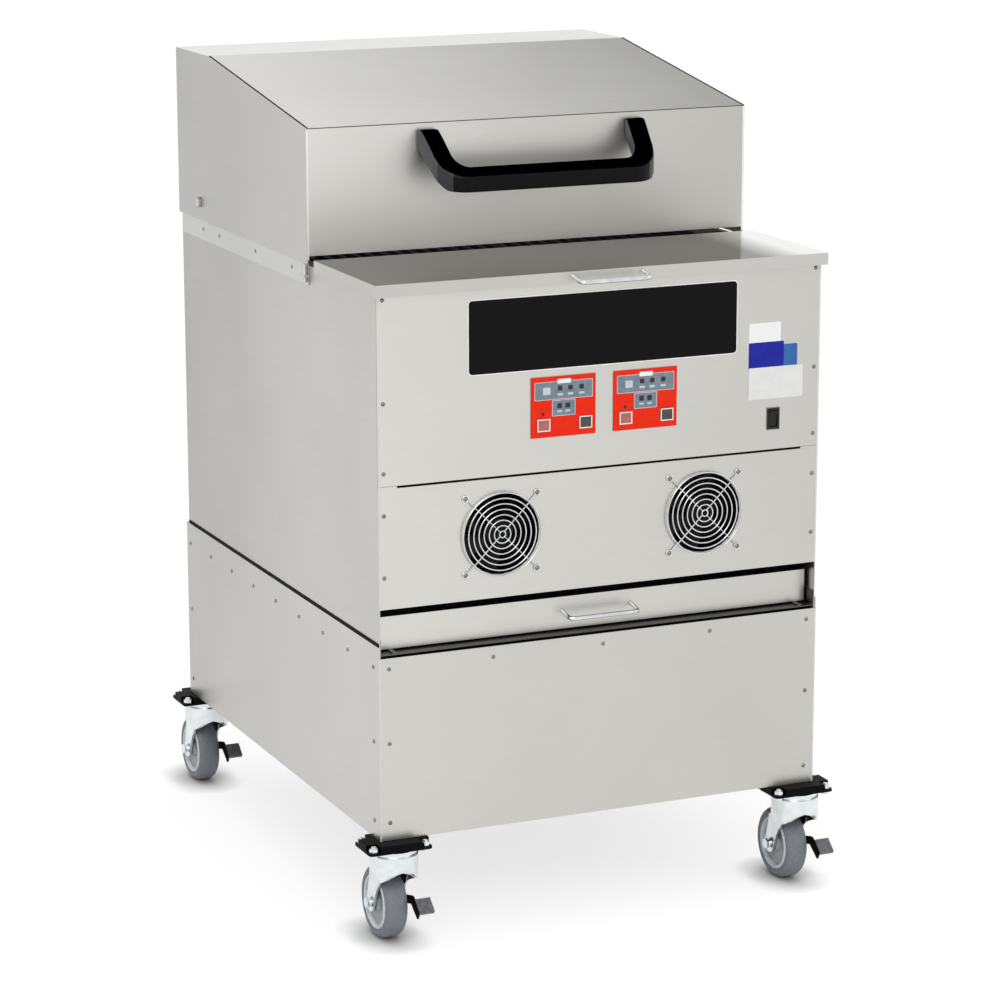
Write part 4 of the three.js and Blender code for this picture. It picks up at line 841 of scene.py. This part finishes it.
# Plates and labels
def name_plate():
    """Plain black blank with a pale edge."""
    low, high = limits("upper_front_panel")
    drop, width, height, corner, edge = 68.4, 397.4, 99, 5, 1.6
    rim_front, rim_back, plate_front, plate_back = (low.y - proud for proud in (0.8, 0.1, 1.6, 0.7))
    rim = front_plate("plate_rim", 0, high.z - drop, width + 2 * edge, height + 2 * edge, corner + edge,
                      rim_front, rim_back, PLATE_EDGE)
    plate = front_plate("name_plate", 0, high.z - drop, width, height, corner, plate_front, plate_back,
                        PLATE_BLACK)
    finish_piece(merged("name_plate_blank", [plate, rim]), "cabinet")


def label_blanks():
    """Plain blanks of the labels, each lapping over the one before: x, drop, width, height and finish."""
    low, high = limits("upper_front_panel")
    labels = [(243.5, 95.4, 49, 31, LABEL_WHITE), (246, 126.4, 54, 39, LABEL_BLUE),
              (283.5, 128.4, 21, 33, LABEL_SKY), (261, 164.3, 84, 44.6, LABEL_PAPER)]
    corner, first_layer, layer_step, tuck = 1.5, 0.3, 0.15, 0.05
    made = []
    for layer, (x, drop, width, height, finish) in enumerate(labels):
        front = low.y - first_layer - layer_step * layer
        made.append(front_plate("label", x, high.z - drop, width, height, corner, front, low.y - tuck,
                                finish))
    finish_piece(merged("label_blanks", made), "cabinet")


def switch_bezel():
    """A thin steel frame round the switch."""
    low, high = limits("switch_housing")
    panel = limits("upper_front_panel")[0].y
    margin, lap = 1.4, 0.5
    bars = rim_bars((low.x + high.x) / 2, (low.z + high.z) / 2, high.x - low.x + 2 * margin,
                    high.z - low.z + 2 * margin, margin + lap, panel - 0.6, panel - 0.05, RIVET_STEEL)
    finish_piece(merged("switch_bezel", bars), "cabinet")


def controller_face(side):
    """Windows, lamps and printed marks of a controller's overlay."""
    low, high = limits(f"controller_{side}")
    x, z, y = (low.x + high.x) / 2, (low.z + high.z) / 2, low.y
    tuck, rim = 0.02, 1.8
    parts = []

    def patch(across, up, width, height, rise, radius, material):
        parts.append(front_plate("patch", x + across, z + up, width, height, radius, y - rise, y - tuck,
                                 material))

    # Two windows, the upper one wide
    for up, width, height in ((22.2, 84.2, 23), (-2, 32.6, 20)):
        patch(0.1, up, width + rim, height + rim, 0.2, 1.2, PALE_MARK)
        patch(0.1, up, width, height, 0.35, 1.2, WINDOW_GREY)
    # Pale patch in the upper window, then its lamps, each over a mark
    patch(-25, 22, 11, 10, 0.5, 1.2, PALE_MARK)
    for across in (-5.4, 9.9, 26.3):
        patch(across, 25, 6.5, 6.5, 0.6, 1.5, LAMP_DARK)
        patch(across, 16.5, 8, 3, 0.5, 0.4, PALE_MARK)
    # Lamps and marks of the lower window
    for across in (-6, 6):
        patch(across, 1, 7, 7, 0.6, 1.5, LAMP_DARK)
        patch(across, -6.5, 7, 2.4, 0.5, 0.4, PALE_MARK)
    # Lamp over the start key, and the white tab on the top edge of the upper window
    patch(-30.4, -9, 4.5, 4.5, 0.6, 2.2, LAMP_DARK)
    patch(0.5, 34.4, 19.8, 6, 0.6, 0.6, LABEL_WHITE)
    finish_piece(merged(f"controller_marks_{side}", parts), "cabinet")


def key_rims(side):
    """Pale frames on the faces of a controller's keys, which move with them."""
    bar, proud, tuck = 1.4, 0.25, 0.02
    for key in ("start", "mode"):
        low, high = limits(f"{key}_button_{side}")
        bars = rim_bars((low.x + high.x) / 2, (low.z + high.z) / 2, high.x - low.x, high.z - low.z, bar,
                        low.y - proud, low.y - tuck, LABEL_WHITE)
        finish_piece(merged(f"{key}_key_rim_{side}", bars), f"{key}_key_{side}")


# Seals, folds and seams
def between(sign, first, last):
    """The two places on one side of the middle, the lower one first."""
    return sorted((sign * first, sign * last))


def collar_gap_shades():
    """Black strips that paint the shade in the gap between the collar of the stand and the sides of the
    cabinet.
    """
    low, high = limits("body_side_right")
    collar = limits("base_side_right")[1].z
    gap, thickness, inset, depth, proud = 0.05, 0.85, 2, 1, 4.5
    for side, sign in SIDES:
        x0, x1 = between(sign, high.x + gap, high.x + gap + thickness)
        gap_shade = slab(f"collar_gap_shade_{side}", (x0, low.y + inset, collar - depth),
                    (x1, high.y - inset, collar + proud), GAP_SHADE_BLACK)
        finish_piece(gap_shade, "cabinet")


def corner_folds():
    """Strips of painted highlight down the folded front corners of the stand and of the cabinet."""
    width, proud, tuck = 3.0, 0.25, 0.02
    stand_low, stand_high = limits("base_front_panel")
    stand = ("base_front_panel", limits("base_side_right")[1].x, stand_low.z, stand_high.z)
    cabinet = ("upper_front_panel", limits("body_side_right")[1].x, limits("lower_front_panel")[0].z,
               limits("hopper_lid")[0].z - 1)
    for panel, outer, bottom, top in (stand, cabinet):
        front = limits(panel)[0].y
        for side, sign in SIDES:
            x0, x1 = between(sign, outer, outer - width)
            fold = slab(f"fold_{panel}_{side}", (x0, front - proud, bottom), (x1, front - tuck, top),
                        FOLD_EDGE_HIGHLIGHT)
            finish_piece(fold, "cabinet")


def hood_seams():
    """Dark seams along the slope's edges and its front fold, and strips of painted highlight down the
    front's corners.
    """
    low, high = limits("hood_shell")
    front, back, top = low.y, high.y, high.z
    fold, roof_start = top - 60, back - 146
    lift, seam_inset, seam_width = 0.25, 0.8, 2.8
    line_bottom, line_top = 1.6, 0.4
    light_outer, light_inner, light_proud = 0.9, 2.7, 0.2
    parts = []
    for sign in (-1, 1):
        x0, x1 = between(sign, high.x - seam_inset, high.x - seam_inset - seam_width)
        corners = [(x0, front, fold), (x1, front, fold), (x1, roof_start, top), (x0, roof_start, top)]
        vertices = [place(*c) for c in corners] + [place(a, b, c + lift) for a, b, c in corners]
        faces = [(0, 3, 2, 1), (4, 5, 6, 7), (0, 1, 5, 4), (1, 2, 6, 5), (2, 3, 7, 6), (3, 0, 4, 7)]
        parts.append(new_object("seam", vertices, faces, SEAM_DARK))
    parts.append(slab("seam", (low.x + 1, front - lift, fold - line_bottom),
                      (high.x - 1, front, fold - line_top), SEAM_FINE))
    # Strips of painted highlight down the front's corners
    for sign in (-1, 1):
        x0, x1 = between(sign, high.x - light_outer, high.x - light_inner)
        parts.append(slab("fold", (x0, front - light_proud, low.z + 6), (x1, front, fold - 2), FOLD_HIGHLIGHT))
    finish_piece(merged("hood_seams", parts), "hood")


# Light, floor and camera
FLOOR_SIZE = 40.0
# Share of the floor's look that is plain white, and how white that is. The rest takes the object's shadow
FLOOR_SHARE = 0.62
FLOOR_WHITE = 1.2
# What rests on the floor darkens it close by: as far as this many metres, and how steeply
CONTACT_REACH = 0.05
CONTACT_DEPTH = 2.4
WORLD_LIGHT = 0.75


def seen_rays(tree):
    """One for camera, glossy and transmission rays, zero for the rest."""
    path = add(tree, "ShaderNodeLightPath")
    first = add(tree, "ShaderNodeMath", {"operation": "MAXIMUM"},
                {0: path.outputs["Is Camera Ray"], 1: path.outputs["Is Glossy Ray"]})
    both = add(tree, "ShaderNodeMath", {"operation": "MAXIMUM"},
               {0: first.outputs["Value"], 1: path.outputs["Is Transmission Ray"]})
    return both.outputs["Value"]


def show_mixed(tree, share, lit, seen, output_type):
    """Sends a mix of two shaders to the output: lit where the share is zero, seen where it is one."""
    mix = add(tree, "ShaderNodeMixShader", None, {0: share, 1: lit, 2: seen})
    output = next(node for node in tree.nodes if node.type == output_type)
    tree.links.new(mix.outputs["Shader"], output.inputs["Surface"])


def floor_finish():
    """Floor that is seen nearly white and keeps part of each shadow."""
    material, tree, shader = plain("floor_white", "#fafafa", 0.9)
    open_sky = add(tree, "ShaderNodeAmbientOcclusion", {"samples": 16}, Distance=CONTACT_REACH)
    deep = add(tree, "ShaderNodeMath", {"operation": "POWER"}, {0: open_sky.outputs["AO"], 1: CONTACT_DEPTH})
    bright = add(tree, "ShaderNodeMath", {"operation": "MULTIPLY"},
                 {0: deep.outputs["Value"], 1: FLOOR_WHITE})
    glow = add(tree, "ShaderNodeEmission", Color=grey(1.0), Strength=bright.outputs["Value"])
    share = add(tree, "ShaderNodeMath", {"operation": "MULTIPLY"}, {0: seen_rays(tree), 1: FLOOR_SHARE})
    show_mixed(tree, share.outputs["Value"], shader.outputs["BSDF"], glow.outputs["Emission"],
               "OUTPUT_MATERIAL")
    return material


def studio():
    """White world and floor, a large key light from the front left and a weak fill from the right."""
    world = bpy.data.worlds.new("studio")
    bpy.context.scene.world = world
    world.use_nodes = True
    tree = world.node_tree
    away = next(node for node in tree.nodes if node.type == "BACKGROUND")
    away.inputs["Color"].default_value = grey(1.0)
    away.inputs["Strength"].default_value = WORLD_LIGHT
    seen = add(tree, "ShaderNodeBackground", Color=grey(1.0), Strength=1.0)
    show_mixed(tree, seen_rays(tree), away.outputs["Background"], seen.outputs["Background"], "OUTPUT_WORLD")
    bpy.ops.mesh.primitive_plane_add(size=FLOOR_SIZE, location=(0, 0, 0))
    floor = bpy.context.active_object
    floor.name = "studio_floor"
    floor.data.materials.append(floor_finish())
    aim, size = Vector((0, 0, 0.6)), 3.0
    for name, where, power in (("key", (-1.8, -4.0, 3.2), 80), ("fill", (3.8, -2.6, 2.0), 16)):
        data = bpy.data.lights.new(name, "AREA")
        data.shape = "SQUARE"
        data.size = size
        data.energy = power
        lamp = linked(name, data)
        lamp.location = where
        lamp.rotation_mode = "QUATERNION"
        lamp.rotation_quaternion = (aim - Vector(where)).to_track_quat("-Z", "Y")


def camera():
    """Camera fitted to the photograph."""
    data = bpy.data.cameras.new("camera")
    data.sensor_width = SENSOR_MM
    data.lens = FOCAL_PIXELS * SENSOR_MM / PHOTO_PIXELS
    data.clip_end = 100
    made = linked("camera", data)
    turn, rise = math.radians(CAMERA_AZIMUTH), math.radians(CAMERA_ELEVATION)
    back = Vector((math.sin(turn) * math.cos(rise), -math.cos(turn) * math.cos(rise), math.sin(rise)))
    made.location = (Vector(CAMERA_AIM) + back * CAMERA_DISTANCE) * MM
    level = (-back).to_track_quat("-Z", "Y").to_matrix()
    made.rotation_mode = "QUATERNION"
    made.rotation_quaternion = (level @ Matrix.Rotation(math.radians(CAMERA_ROLL), 3, "Z")).to_quaternion()
    bpy.context.scene.camera = made
    bpy.context.scene.view_settings.view_transform = "Standard"


camera()
studio()
dress_cabinet()
stand_rivets()
cabinet_screws()
rail_rivets()
name_plate()
label_blanks()
switch_bezel()
collar_gap_shades()
hood_seams()
corner_folds()
strap_handle()
wire_pull("lid_pull", "lid_wire_pull", "lid")
wire_pull("drawer_pull", "drawer_wire_pull", "drawer")
for side_name, _ in SIDES:
    fan_guard(side_name)
    controller_face(side_name)
    key_rims(side_name)
    for end_name in ENDS:
        dress_caster(end_name, side_name)
        caster_wheel(end_name, side_name)
        caster_bolts(end_name, side_name)
